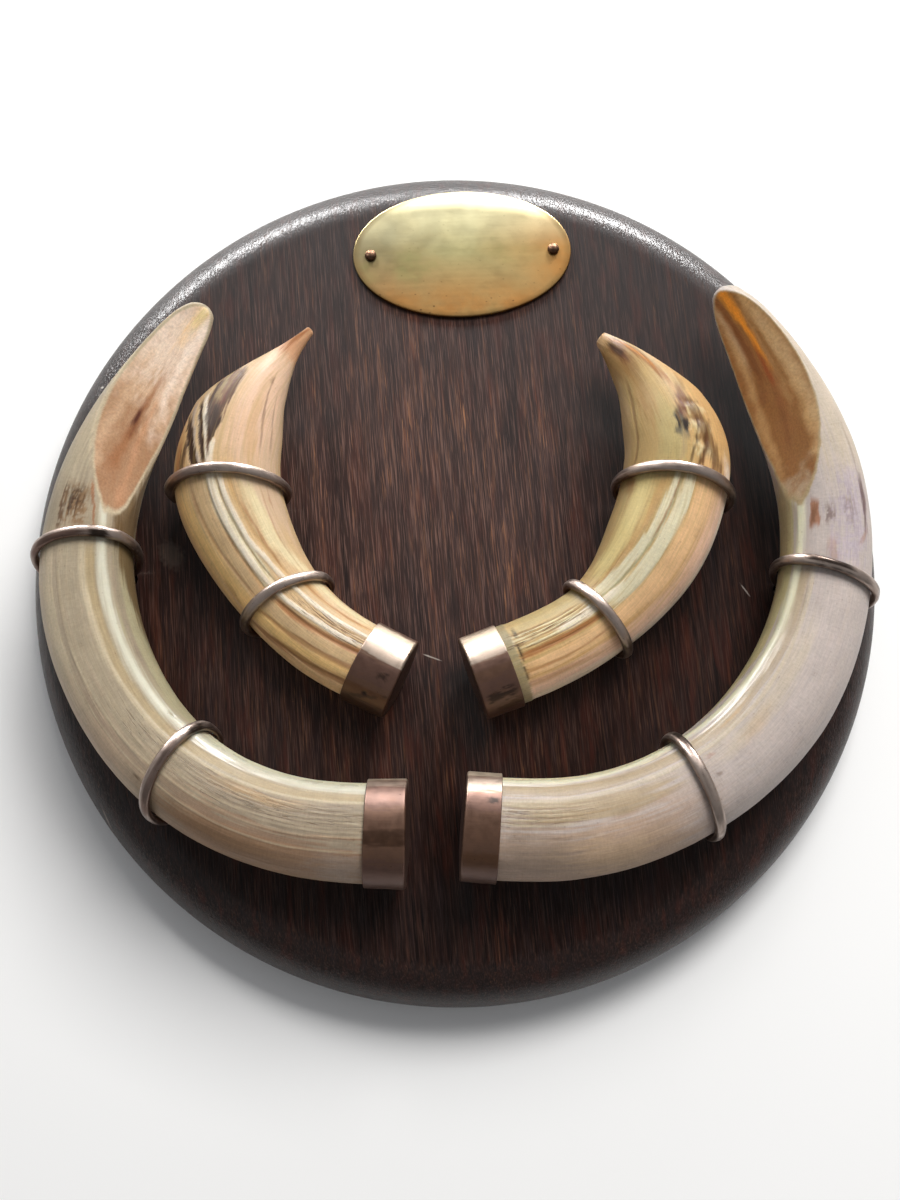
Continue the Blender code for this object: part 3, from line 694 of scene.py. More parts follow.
# %% Upper right tusk
MARKS["upper_tusk_right"] = dict(
    ground="mist", face="leather", rim="tan", edge=(0.02, 0.2),
    polish=stroke("", ((0, 66), (70, 66), (120, 54), (178, 40)), (24, 16), soft=0.5),
    crackle=stroke("", ((0, 10), (34, 8)), (18, 12), soft=0.5, fade=10),
)
MARKS["upper_tusk_right"]["strokes"] = [
    stroke("fawn", ((0, -58), (66, -58)), 74, 0.75, soft=0.4, fade=12),
    stroke("taupe", ((10, -30), (30, -28)), 40, 0.55, soft=0.7, fade=8),
    stroke("gold", ((30, -44), (54, -44)), 46, 0.4, soft=0.8, fade=10),
    stroke("ash", ((150, -80), (186, -80)), 34, 0.4, soft=0.8, fade=6),
    stroke("sand", ((180, -60), (252, -50)), 80, 0.5, soft=0.5, fade=10),
    stroke("cream", ((0, 92), (74, 92)), 34, 0.9, soft=0.3, fade=10),
    stroke("khaki", ((84, 98), (100, 88), (130, 82), (178, 74)), (20, 28), 0.9, soft=0.4, fade=8),
    stroke("tan", ((134, 94), (150, 86), (182, 80)), (16, 28), 0.85, soft=0.5, fade=8),
    stroke("ochre", ((10, 14), (62, 14)), 16, 0.6, soft=0.5, fade=10),
    stroke("sand", ((76, 14), (104, 12), (130, 14)), 14, 0.45, soft=0.7, fade=12),
    stroke("honey", ((88, 8), (100, 12)), 12, 0.25, soft=1, fade=5),
    stroke("ochre", ((0, 44), (60, 44), (90, 41), (150, 36)), 12, 0.5, -0.15, soft=0.4),
    stroke("tan", ((10, 46), (60, 46), (90, 44), (150, 40)), 8, 0.45, soft=0.6),
    stroke("honey", ((86, 38), (98, 39)), 4, 0.35, 0, 0.3, fade=4),
    stroke("sand", ((8, 25), (30, 28), (50, 31), (90, 27), (150, 26)), (5, 4), 0.6, 0.1),
    *[stroke("sand", ((9, start), (34, start - 1)), 1.5, 0.5, 0.12, 0.25, fade=6)
      for start in (1, 6, 11, 16, 21)],
    *[stroke("dust", ((9, start), (32, start - 1)), 1.1, 0.5, -0.07, 0.4, fade=6)
      for start in (-12, 3.5, 8.5, 18)],
    stroke("pale", ((0, 58), (30, 62), (70, 66), (90, 61), (120, 54), (150, 49), (180, 42)),
           (9, 11), 0.95, 0.3, soft=0.9),
    stroke("umber", ((75, -3), (76.5, -3)), 2.5, 0.5, 0, 0.2, fade=0.8),
    stroke("rust", ((76, 18), (78, 18)), 4, 0.4, 0, 0.2, fade=1.2),
    stroke("lilac", ((152, -20), (180, -20)), 36, 0.75, soft=0.5, fade=3, hatched=True),
    stroke("plum", ((163, -44), (178, -44)), 7, 0.75, 0, 0.2, fade=3),
    stroke("rust", ((159, -34), (163, -44)), 5, 0.4, 0, 0.3, fade=1.5),
    stroke("plum", ((180, -42), (192, -42)), 4, 0.25, 0, 0.2, fade=4),
    stroke("rust", ((151, 4), (160, 4)), 9, 0.3, 0, 0.3, soft=0.8, fade=2),
    stroke("plum", ((165, 6), (170, 6)), 7, 0.6, 0, 0.2, fade=1.5, hatched=True),
    stroke("plum", ((165, -18), (174, -16)), 12, 0.35, fade=3, hatched=True),
    stroke("rust", ((163.5, 27), (172, 24)), (10, 8), 0.8, -0.05, 0.15, soft=0.5, fade=1.6),
    stroke("umber", ((164, 31), (170, 23)), 6, 0.5, 0, 0.3, soft=0.8, fade=1.6),
]
print(len(MARKS["upper_tusk_right"]["strokes"]), "bands")

# %% Upper right tusk, worn face
MARKS["upper_tusk_right"]["face_strokes"] = [
    stroke("saddle", ((176, 30), (256, 30)), 200, 0.35, soft=0.2),
    stroke("honey", ((184, 4), (216, -16), (252, -22)), (18, 28), 0.85, soft=0.9, fade=8),
    stroke("gold", ((182, 2), (206, -16), (240, -24)), (14, 20), 0.5, soft=1, fade=8),
    stroke("gold", ((222, 100), (254, 104)), 16, 0.6, soft=1, fade=8),
    stroke("honey", ((184, 74), (206, 98), (236, 112)), 12, 0.55, soft=1, fade=8),
    stroke("honey", ((206, 18), (244, 10)), 22, 0.35, soft=1, fade=12),
    stroke("mahogany", ((214, 80), (250, 84)), 22, 0.5, soft=1, fade=10),
    stroke("mahogany", ((196, 52), (214, 50)), 16, 0.3, soft=1, fade=8),
    stroke("rust", ((208, 36), (240, 36)), 34, 0.4, soft=1, fade=10),
    stroke("amber", ((226, 32), (256, 36)), (18, 56), 0.9, soft=1, fade=10),
    stroke("brick", ((217, 40), (229, 42)), 15, 0.6, soft=1, fade=6),
    stroke("sand", ((172, 40), (179, 40)), 200, 0.9, soft=0.2, fade=8),
]
print(len(MARKS["upper_tusk_right"]["face_strokes"]), "marks on the worn face")

# %% [markdown]
# ## Lower tusks
#
# The lower tusks are golden, with chalky ridges of old cement along the top, thin dark seams
# between them, and brown streaks on both sides. Beyond the second hoop a worn plane cuts their
# outer side to a chisel point. Stains gather at its lower end, and the tips are orange brown.

# %% Lower left tusk
MARKS["lower_tusk_left"] = dict(
    ground="gold", face="rust", rim="cream", edge=(0.05, 0.3),
    polish=stroke("", ((40, 60), (148, 40)), (20, 70), 0.6, soft=0.5),
    crackle=stroke("", ((0, 24), (40, 12)), 16, soft=0.5, fade=8),
    face_strokes=[stroke("sand", ((134, 0), (149, 0)), 180, 0.6, soft=0.1, fade=3)],
)
MARKS["lower_tusk_left"]["strokes"] = [
    stroke("biscuit", ((0, -86), (46, -86), (84, -90)), (46, 36), 0.9, soft=0.35, fade=8),
    stroke("saffron", ((10, -36), (46, -48), (84, -56)), (14, 20), 0.8, soft=0.8, fade=8),
    stroke("rust", ((10, -47), (26, -54), (44, -66)), (10, 7), 0.65, -0.08, 0.2, fade=4),
    stroke("umber", ((12, -48), (24, -54), (38, -61)), (4, 3), 0.4, -0.08, 0.35, fade=4),
    stroke("rust", ((10, -23), (30, -31), (44, -41)), (6, 4), 0.55, -0.1, 0.2, fade=4),
    stroke("saffron", ((46, -70), (66, -66), (84, -66)), 9, 0.5, -0.05, 0.4),
    stroke("rust", ((49, -58), (57, -56)), 5, 0.35, 0, 0.4, fade=3),
    stroke("rust", ((46, -31), (62, -36), (84, -40)), 3, 0.3, -0.12, 0.2),
    stroke("rust", ((0, 5), (14, 2), (28, -4), (44, -13)), (9, 6), 0.75, -0.25, soft=0.6),
    stroke("umber", ((9, 4), (26, -2), (43, -12)), (4.5, 3), 0.5, -0.15, 0.2, soft=0.7, fade=3),
    stroke("rust", ((44, -14), (60, -17), (84, -20)), 4, 0.25, 0, 0.2),
    stroke("saddle", ((44, -13), (60, -17), (84, -19)), 2, 0.55, -0.3, 0.1),
    stroke("straw", ((46, -1), (62, -7), (84, -12)), 12, 0.75, soft=0.5),
    stroke("chalk", ((12, 14), (30, 8), (40, 0), (48, -5), (64, -12), (84, -13)), (5, 6),
           0.95, 0.33, 0.05, 0.5),
    stroke("chalk", ((12, 32), (24, 29), (40, 23), (50, 15), (62, 4), (84, -2)), (4.5, 5),
           0.95, 0.35, 0.05, 0.5),
    *[stroke("umber", ((12, start), (32, start - 4)), 1.1, 0.75, -0.15, 0.5, fade=3)
      for start in (18, 22, 26)],
    stroke("saddle", ((46, 5), (62, -3), (84, -7)), 1.6, 0.55, -0.3, 0.2),
    stroke("honey", ((12, 51), (24, 46), (44, 38)), (7, 5), 0.8, -0.2, 0.1, soft=0.7),
    stroke("rust", ((12, 50), (26, 45), (42, 39)), 2.6, 0.6, 0, 0.3),
    stroke("honey", ((44, 26), (54, 21), (64, 13), (84, 8)), (4, 4), 0.55, -0.25, 0.15, soft=0.8),
    stroke("cream", ((12, 66), (40, 60), (60, 32), (82, 26)), (16, 12), 0.6, soft=0.8, fade=6),
    stroke("blush", ((60, 60), (84, 48), (134, 50)), (18, 62), 0.75, soft=0.4, fade=10),
    stroke("salmon", ((92, 30), (132, 36)), (40, 60), 0.5, soft=0.7, fade=8),
    stroke("rust", ((50, 26), (62, 20), (74, 14)), 3, 0.5, 0, 0.3, fade=6),
    stroke("rust", ((44, 50), (60, 42), (76, 42)), 1.6, 0.35, -0.05, 0.3),
    stroke("rust", ((66, 50), (78, 50)), 1.6, 0.4, -0.05, 0.3),
    stroke("honey", ((86, 36), (104, 30), (118, 32)), 10, 0.45, 0, 0.2, fade=8),
    stroke("honey", ((86, -58), (92, -58), (100, -74)), 18, 0.95, soft=0.6, fade=3),
    stroke("rust", ((86, -58), (94, -60)), 8, 0.6, 0, 0.2, fade=2),
    stroke("chalk", ((84, -11), (94, -16), (108, -42)), (7, 9), 0.95, 0.25, 0.05, 0.5, 3),
    stroke("ash", ((86, -24), (98, -44), (106, -60)), 6, 0.8, 0.15, 0.1, 0.6, fade=2),
    stroke("soot", ((85, -28), (94, -42), (102, -62)), (6, 9), 1, -0.25, 0.15, 0.3, fade=2),
    stroke("soot", ((88, -20), (98, -31), (107, -50)), (3.4, 5), 1, -0.25, 0.15, 0.5, fade=2),
    stroke("umber", ((90, -15), (100, -23), (109, -40)), 2.4, 0.9, -0.2, 0.25, 0.5, fade=2),
    stroke("soot", ((86, -52), (95, -46)), 7, 0.85, 0, 0.35, fade=2),
    stroke("umber", ((93, -15), (99, -17), (106, -21), (119, -22)), (2, 11, 19, 16),
           1.0, 0, 0.05, 0.3, fade=1.5),
    stroke("mahogany", ((103, -17), (119, -18)), 7, 0.8, 0, 0.15, fade=2),
    stroke("soot", ((94, -15), (99, -17), (106, -19)), (2, 10, 8), 1, 0, 0.1, 0.3, fade=1.5),
    stroke("ochre", ((107, -25), (118, -25)), (7, 10), 0.9, 0, 0.1, 0.5, fade=2),
    stroke("soot", ((99, -23), (106, -31), (113, -38)), 4, 0.8, 0, 0.2, 0.5, fade=2),
    stroke("umber", ((104, -12), (113, -10), (121, -18)), 5, 0.9, 0, 0.2, 0.5, fade=2),
    stroke("mahogany", ((108, -18), (120, -26)), 6, 0.7, 0, 0.3, fade=2),
    stroke("plum", ((96, 44), (112, 41), (124, 38)), 1.8, 0.45, -0.05, 0.4, fade=4),
    stroke("plum", ((98, 59), (118, 56)), 1.8, 0.35, -0.05, 0.4, fade=4),
    stroke("plum", ((121, 38), (123, 38)), 5, 0.4, 0, 0.1, fade=1),
    stroke("apricot", ((132.5, 46), (149, 46)), 110, 0.75, soft=0.2, fade=2.5),
    stroke("rust", ((134, 12), (141, 20), (146, 34)), (22, 14), 0.9, soft=1, fade=4),
]
print(len(MARKS["lower_tusk_left"]["strokes"]), "bands")

# %% Lower right tusk
MARKS["lower_tusk_right"] = dict(
    ground="honey", face="saddle", rim="gold", edge=(0.05, 0.3),
    polish=stroke("", ((44, 60), (150, 40)), (16, 60), 0.5, soft=0.5),
    crackle=stroke("", ((10, 24), (40, 16)), 16, soft=0.5, fade=8),
    face_strokes=[stroke("amber", ((124, 0), (151, 0)), 180, 0.6, soft=0.1, fade=8)],
)
MARKS["lower_tusk_right"]["strokes"] = [
    stroke("wheat", ((0, 36), (152, 36)), 60, 0.8, soft=0.3),
    stroke("petal", ((0, -92), (50, -92), (92, -92)), (44, 36), 0.9, soft=0.5, fade=6),
    stroke("salmon", ((0, -56), (92, -60)), 24, 0.85, soft=0.9, fade=8),
    stroke("rust", ((14, -46), (28, -48), (40, -56)), (9, 6), 0.3, 0, 0.25, soft=0.8, fade=5),
    stroke("biscuit", ((14, -24), (44, -24), (92, -34)), (14, 18), 0.75, soft=0.6, fade=8),
    stroke("rust", ((14, -27), (26, -29), (40, -27)), 3, 0.6, -0.08, 0.25),
    stroke("rust", ((12, -2), (28, -2), (42, -4)), (9, 7), 0.8, -0.2, 0.05, 0.6),
    stroke("umber", ((13, -2), (26, -3), (40, -4)), 2.2, 0.4, -0.15, 0.3),
    stroke("khaki", ((14, 56), (42, 54)), 26, 0.45, soft=0.4, fade=5),
    stroke("straw", ((44, 4), (66, -5), (92, -12)), (14, 8), 0.95, 0.25, 0, 0.35),
    stroke("chalk", ((28, 11), (42, 12), (50, 10)), 9, 0.9, 0.1, 0.1, 0.5, fade=4),
    stroke("straw", ((42, 26), (54, 22), (70, 10), (92, 4)), (12, 5), 0.95, 0.25, 0.05, 0.5),
    *[stroke("saddle", ((14, start), (38, start)), 1.3, 0.65, -0.18, 0.35, fade=3)
      for start in (7, 17, 22, 27, 33)],
    *[stroke("cream", ((14, start), (36, start)), 2, 0.75, 0.12, 0.3, fade=3)
      for start in (10, 19, 24, 30)],
    stroke("olive", ((44, 18), (62, 9), (92, -3)), 2, 0.8, -0.3, 0.2),
    stroke("rust", ((70, 7), (92, -1)), 1.6, 0.5, -0.1, 0.3),
    stroke("saddle", ((46, 39), (54, 35), (64, 29)), 2.2, 0.85, -0.2, 0.25, fade=3),
    stroke("honey", ((48, 38), (62, 30), (90, 16)), (5, 6), 0.6, -0.15, 0.15),
    stroke("lemon", ((52, 52), (66, 44), (92, 40)), (20, 16), 0.8, soft=0.7, fade=6),
    stroke("khaki", ((70, 62), (92, 58)), (3, 6), 0.35, 0, 0.3, fade=6),
    stroke("rust", ((84, 56), (93, 60)), 9, 0.5, 0, 0.2, fade=4),
    stroke("petal", ((92, -78), (98, -62)), 14, 0.8, soft=0.8, fade=3),
    stroke("khaki", ((92, 14), (116, 12)), 20, 0.6, soft=0.5, fade=6),
    stroke("leather", ((112, 30), (136, 38)), 20, 0.4, soft=1, fade=8),
    stroke("gold", ((92, 84), (120, 76), (136, 76)), (20, 26), 0.7, soft=0.6, fade=6),
    stroke("saddle", ((92, 58), (112, 54), (130, 50)), (2.4, 5), 0.6, -0.1, 0.25, fade=4),
    stroke("umber", ((127, 24), (140, 28)), (12, 18), 0.4, soft=1, fade=6),
    *[stroke("cream", ((94 + step, -30), (97 + step, -22)), 16, 0.5, 0.3, 0.2, fade=1.2)
      for step in (4, 10, 16)],
    *[stroke("umber", ((97 + step, -30), (99 + step, -22)), 14, 0.6, -0.2, 0.25, fade=1)
      for step in (4, 10, 16)],
    stroke("tan", ((94, 2), (104, -4), (114, -14)), 5, 0.6, 0.15, 0.2, 0.6, fade=3),
    stroke("umber", ((94, -46), (104, -28), (118, -20)), (12, 12), 0.75, 0, 0.25, fade=3),
    stroke("umber", ((94, -18), (100, -26), (107, -36)), 6, 0.9, -0.2, 0.15, 0.8, fade=1.5),
    stroke("soot", ((95, -8), (101, -15), (108, -24)), 3, 0.7, -0.2, 0.3, 0.8, fade=1.5),
    stroke("slate", ((104, -1), (113, -6)), 10, 0.9, -0.08, 0.2, fade=2),
    stroke("ink", ((105, -7), (109, -9)), 5, 1, -0.1, 0.15, 0.5, fade=1),
    stroke("ink", ((106, 1), (112, -2)), 4, 1, -0.1, 0.2, 0.5, fade=1),
    stroke("mahogany", ((110, -8), (116, -16), (122, -28)), (8, 13), 0.75, 0, 0.15, 0.7, fade=2),
    stroke("wheat", ((118, -34), (126, -20), (136, -4)), 12, 0.7, soft=0.9, fade=4),
    stroke("leather", ((122, -14), (138, 0), (150, 24)), (7, 13), 0.85, fade=4),
    stroke("amber", ((130, -8), (142, 6), (148, 20)), 4, 0.4, fade=4),
    stroke("leather", ((132, 50), (151, 50)), 60, 0.45, soft=0.6, fade=4),
    stroke("mahogany", ((136, 24), (145, 34)), (14, 22), 0.75, soft=0.8, fade=2),
    stroke("soot", ((139, 26), (146, 32)), 11, 0.8, 0, 0.1, soft=0.8, fade=1.2),
    stroke("biscuit", ((146.6, 30), (151, 30)), 200, 0.75, soft=0.9, fade=2),
    stroke("lichen", ((6, 0), (13.2, 0)), 400, 0.85, 0.3, soft=0.1, fade=0.5),
    stroke("ink", ((13.0, -30), (13.7, -30)), 20, 0.9, -0.25, 0.3, fade=0.5),
    stroke("ink", ((13.5, 6), (14.3, 6)), 20, 0.95, -0.25, 0.3, fade=0.5),
    stroke("ink", ((14.4, 38), (15.2, 38)), 16, 0.9, -0.25, 0.3, fade=0.5),
]
print("painted bands:", {name: len(marks["strokes"]) for name, marks in MARKS.items()})

# %% [markdown]
# ## Making a tusk
#
# The grid has a ring every 0.6 mm and is closest on the upper side, where the eye goes. Strokes
# raise and sink the skin first, then the worn face is cut, and last the tip is drawn together
# into a blunt round end. Fine lines along the grain are real relief too, only hundredths of a
# millimetre high, so that they catch the light.

# %% Tusk meshes
RING_STEP = 0.6
RIM_WIDTH = 0.5  # the pale rim gives way to the dentine over this further depth of wear
TOP_ANGLES = np.arange(-112.0, 124.0, 1.35)
UNDER_ANGLES = np.arange(124.5, 247.0, 3.2)
SIDE_ANGLES = np.concatenate([TOP_ANGLES, UNDER_ANGLES])
TIP_ROUND = {"upper": 3.0, "lower": 1.2}
TIP_STEPS = 10
LAST_RING = 0.03  # the last ring's share of the section, since a ring can't shrink to a point
RAGGED_RIM = 0.1  # mm of wear by which the rim wanders
LINE_RELIEF, LUMP_RELIEF, CRACK_RELIEF = 0.025, 0.06, 0.16  # mm


def ring_places(tusk):
    """Distances of the rings, and how far each is drawn in to round off the tip."""
    end = TIP_ROUND[tusk.kind]
    body = np.linspace(0.0, tusk.length - end, int((tusk.length - end) / RING_STEP))
    turn = np.linspace(0.0, math.pi / 2, TIP_STEPS + 1)[1:]
    places = np.concatenate([body, tusk.length - end + end * np.sin(turn)])
    share = np.concatenate([np.ones_like(body), np.maximum(np.cos(turn), LAST_RING)])
    return places, share


def fine_relief(distance, girth, crackle, seed):
    """Growth lines a few hundredths of a millimetre high, deeper where the ivory is cracked."""
    lines = layered_noise(distance / 30.0, girth / 0.9, seed, 2)
    cracks = layered_noise(distance / 7.0, girth / 0.75, seed + 9, 2)
    lumps = layered_noise(distance / 9.0, girth / 5.0, seed + 4, 2)
    return LINE_RELIEF * lines + LUMP_RELIEF * lumps + CRACK_RELIEF * crackle * np.abs(cracks)


def make_tusk(tusk, seed):
    """The whole tusk: painted skin, relief, worn face and blunt tip."""
    marks = MARKS[tusk.name]
    places, share = ring_places(tusk)
    distance, angle = np.meshgrid(places, SIDE_ANGLES, indexing="ij")
    _, half_width, _ = tusk.at(distance)
    girth = np.radians(angle) * half_width
    colour, height = painted(marks["ground"], marks["strokes"], distance, angle, seed)
    polish = covered(marks["polish"], distance, angle, seed)
    crackle = covered(marks["crackle"], distance, angle, seed)
    height = height + fine_relief(distance, girth, crackle, seed)
    points = tusk.skin(distance, angle, height)
    points, depth, core = tusk.worn(distance, points)
    points = core + (points - core) * share[:, None, None]

    # The face is where wear went deeper than the marks' edge, and its rim keeps another paint
    ragged = depth + RAGGED_RIM * layered_noise(distance / 3.0, girth / 3.0, seed + 5, 3)
    shallow, deep = marks["edge"]
    face = smoothstep(shallow, deep, ragged) * (depth > 0.01)
    inside = smoothstep(deep, deep + RIM_WIDTH, ragged)
    face_colour, _ = painted(marks["face"], marks["face_strokes"], distance, angle, seed + 200, across=True)
    face_colour = np.array(PAINTS[marks["rim"]]) * (1 - inside[..., None]) + face_colour * inside[..., None]
    colour = colour * (1 - face[..., None]) + face_colour * face[..., None]

    mesh = skin_mesh(tusk.name, points)
    store(mesh, "paint", colour)
    store(mesh, "lengthwise", np.stack([distance, girth, 0 * girth], -1))
    store(mesh, "polish", polish * (1 - face))
    store(mesh, "crackle", crackle * (1 - face))
    store(mesh, "worn", face)
    piece = add_piece("ivory_" + tusk.name, mesh, tusk.name)
    print(piece.name, len(mesh.vertices), "points, face worn", round(float(depth.max()), 1), "mm deep")
    return piece


ivory = {name: make_tusk(tusk, 11 + 31 * index) for index, (name, tusk) in enumerate(tusks.items())}

# %% [markdown]
# ## Caps
#
# Each sawn base sits in a cup of thin silvered copper. On the real one a strip is bent round
# the tusk and a domed disc is soldered over the end, so the sleeve has an open rim at one end
# and a rounded edge at the other. The cup is one closed skin: up the inside, over the rim, down
# the outside and across the dome. Its silver has worn and tarnished, and the lengthwise bands
# painted on it are partly that wear and partly painted reflections of the room: pale towards
# the inner side and dark on the outer side.

# %% Cap bands
def band(name, start, end, wide, strength, soft):
    """A band along the whole cap, from one angle at the dome to another at the rim."""
    return stroke(name, ((-4, start), (14, end)), wide, strength, soft=soft)


# Bands round each cap from dome to rim: partly tarnish and worn silvering, partly painted reflections, pale
# towards the inner side and dark on the outer.
CAP_BANDS_AND_REFLECTIONS = {
    "upper_tusk_left": [
        band("mauve", -62, -62, 36, 0.9, 0.25),
        band("copper", -21, -22, 8, 0.9, 0.4),
        band("soot", -7, -7, 8, 0.8, 0.3),
        band("copper", 10, 10, 10, 0.95, 0.25),
        band("mauve", 36, 37, 17, 0.9, 0.2),
        band("silver", 60, 60, 8, 0.6, 0.5),
        band("pale_silver", 84, 84, 20, 0.8, 0.5),
    ],
    "upper_tusk_right": [
        band("mauve", -70, -70, 30, 0.8, 0.4),
        band("copper", -24, -20, 30, 0.7, 0.5),
        band("umber", -40, -38, 12, 0.6, 0.5),
        band("mauve", 22, 24, 14, 0.85, 0.3),
        band("silver", 48, 48, 14, 0.8, 0.5),
        band("pale_silver", 74, 74, 16, 0.95, 0.5),
    ],
    "lower_tusk_left": [
        band("soot", -80, -80, 24, 0.7, 0.5),
        band("umber", -50, -50, 14, 0.8, 0.4),
        band("copper", -34, -34, 6, 0.9, 0.4),
        band("mauve", -14, -12, 18, 0.9, 0.15),
        band("silver", 21, 22, 16, 0.95, 0.2),
        band("pale_silver", 52, 52, 18, 0.95, 0.4),
    ],
    "lower_tusk_right": [
        band("mauve", -50, -50, 46, 0.9, 0.3),
        band("copper", -12, -8, 8, 0.7, 0.5),
        band("mauve", 2, 5, 8, 0.6, 0.5),
        band("silver", 22, 24, 14, 0.9, 0.4),
        band("pale_silver", 52, 52, 20, 0.95, 0.4),
    ],
}
CAP_SPOTS = {
    "upper_tusk_right": [stroke("ink", ((5, 24), (8, 25)), 4, 0.9, fade=1)],
    "lower_tusk_left": [
        stroke("ink", ((1, -14), (4, -16)), 9, 0.8, 0, 0.4, fade=1),
        stroke("ink", ((5, -47), (6.5, -47)), 4, 0.95, -0.45, fade=0.8),
        stroke("ink", ((-1, -40), (10, -60)), 5, 0.6, 0, 0.6, fade=1),
    ],
    "lower_tusk_right": [
        stroke("ink", ((0, -44), (9, -42)), 10, 0.8, 0, 0.5, fade=1),
        stroke("soot", ((2, -70), (10, -60)), 9, 0.7, 0, 0.5, fade=1),
    ],
}
print("cap bands:", [len(bands) for bands in CAP_BANDS_AND_REFLECTIONS.values()])

# %% Cap meshes
CAP_RIM = 1.2  # how much shorter the sleeve is than the tusk's covered length
CAP_LIP = 0.25
CAP_EDGE = 0.7
CAP_DOME_RISE = 0.9
CAP_FLOOR, CAP_BACK = -0.6, -1.2  # the inside of the base, and where the rounded edge starts
SEAM_DEPTH, SEAM_AT, SEAM_WIDTH = 0.12, 0.93, 0.02  # mm, and its place and width as shares of the dome
CAP_ANGLES = np.arange(0.0, 360.0, 1.6) - 110.0
CAP_RADIUS = 15.0  # about, to turn degrees into millimetres
INSIDE_ROWS = 18  # about the rows of the grid before the lip, which stay smooth
WALL_STEP = 0.35
DENT_DEPTH = 0.07


def cap_profile(length):
    """The cup's outline: distance along the tusk, distance from its skin, and share of the section."""
    inner, outer = CAP_GAP, CAP_GAP + CAP_WALL
    rim = length - CAP_RIM
    lines = [(CAP_FLOOR, inner, share) for share in np.linspace(0.02, 1.0, 8)]
    lines += [(place, inner, 1.0) for place in np.arange(0.2, rim - CAP_LIP, 1.0)]
    for turn in np.linspace(0.0, math.pi, 9):
        out = (inner + outer) / 2 - (CAP_WALL / 2) * math.cos(turn)
        lines.append((rim - CAP_LIP + CAP_LIP * math.sin(turn), out, 1.0))
    lines += [(place, outer, 1.0) for place in np.arange(rim - 2 * CAP_LIP, CAP_BACK, -WALL_STEP)]
    for turn in np.linspace(0.0, math.pi / 2, 8):
        out = outer - CAP_EDGE * (1 - math.cos(turn))
        lines.append((CAP_BACK - CAP_EDGE * math.sin(turn), out, 1.0))
    for share in np.linspace(0.97, 0.02, 26):
        dome = CAP_DOME_RISE * (1 - share**2)
        seam = SEAM_DEPTH * math.exp(-(((share - SEAM_AT) / SEAM_WIDTH) ** 2))
        lines.append((CAP_BACK - CAP_EDGE - dome + seam, outer - CAP_EDGE, share))
    return np.array(lines)


def make_cap(tusk, seed):
    """The cup on one tusk's base, with its bands, spots and dents."""
    name = tusk.name.replace("tusk", "cap")
    lines = cap_profile(tusk.plan["cap"])
    distance, angle = np.meshgrid(lines[:, 0], CAP_ANGLES, indexing="ij")
    extra = lines[:, 1][:, None] + 0 * angle
    share = lines[:, 2][:, None, None]
    strokes = CAP_BANDS_AND_REFLECTIONS[tusk.name] + CAP_SPOTS.get(tusk.name, [])
    colour, height = painted("copper", strokes, distance, angle, seed)
    around = np.radians(angle) * CAP_RADIUS
    outside = (np.arange(len(lines)) >= INSIDE_ROWS)[:, None]
    dents = DENT_DEPTH * layered_noise(distance / 7.0, around / 9.0, seed, 2)
    extra = extra + np.where(outside, dents + height, 0.0)
    points = tusk.skin(distance, angle, extra)
    middle = tusk.middle(distance)
    points = middle + (points - middle) * share
    # Painted shade: the domed end of the cup is painted a darker mauve.
    end = smoothstep(0.99, 0.9, share[..., 0]) * outside
    end_shade_colour = np.array(PAINTS["mauve"]) * 0.6
    colour = colour * (1 - end[..., None]) + end_shade_colour * end[..., None]
    mesh = skin_mesh(name, points)
    store(mesh, "paint", colour)
    along = distance + 20 * share[..., 0]  # the dome's texture runs on from the sleeve's
    store(mesh, "lengthwise", np.stack([along, around * share[..., 0], 0 * around], -1))
    return add_piece("silver_" + name, mesh, name)


caps = {name: make_cap(tusk, 301 + 17 * index) for index, (name, tusk) in enumerate(tusks.items())}
print("caps:", [cap.name for cap in caps.values()])

# %% [markdown]
# ## Hoops
#
# Two hoops of flattened wire hold each tusk. The wire hugs the tusk over the top, leans a
# little, and its two legs go straight down into holes in the plaque. The middle line is worked
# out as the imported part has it, then smoothed where the arch turns into the legs. The wire's
# section is flat inside and round outside, and its hammered surface is slightly uneven.

# %% Hoop paths
WIRE_WIDTH = 3.4
WIRE_THICKNESS = 2.3
WIRE_CLEARANCE = 0.6
HOOP_REACH = 142.0  # the arch reaches this many degrees down each side of the tusk
ARCH_STEPS = 88
AIM_PASSES = 5
LEG_END = BOARD_TOP - 12.0
LEG_STEP = 0.6
LEG_MARK = 1.2  # a leg counts as this many times the angle at the arch's end, for the tarnish
PATH_STEP = 0.45
SMOOTHING_PASSES = 12


def hoop_frame(tusk, distance):
    """The tusk's middle under a hoop, and the ways inward and forward along the tusk."""
    middle, _, inward = tusk.at(np.array(distance))
    forward = np.array([-inward[1], inward[0]]) * tusk.plan["inner"]
    return middle, inward, forward


def hoop_arch(tusk, hoop):
    """Points of the wire's middle line over the tusk, and how each faces away from the tusk."""
    distance, lean, turn = hoop
    clear = WIRE_CLEARANCE + WIRE_THICKNESS / 2
    middle, inward, forward = hoop_frame(tusk, distance)
    slant = math.tan(math.radians(turn))
    angle = np.linspace(-HOOP_REACH, HOOP_REACH, ARCH_STEPS)
    place = np.full_like(angle, distance)
    for _ in range(AIM_PASSES):
        points = tusk.skin(place, angle, clear)
        reach = points[:, :2] - middle
        along = lean * (points[:, 2] - BOARD_TOP) + slant * (reach @ inward)
        place = place + along - reach @ forward
    out = points - tusk.skin(place, angle, 0.0)
    return points, out / np.linalg.norm(out, axis=-1, keepdims=True), angle


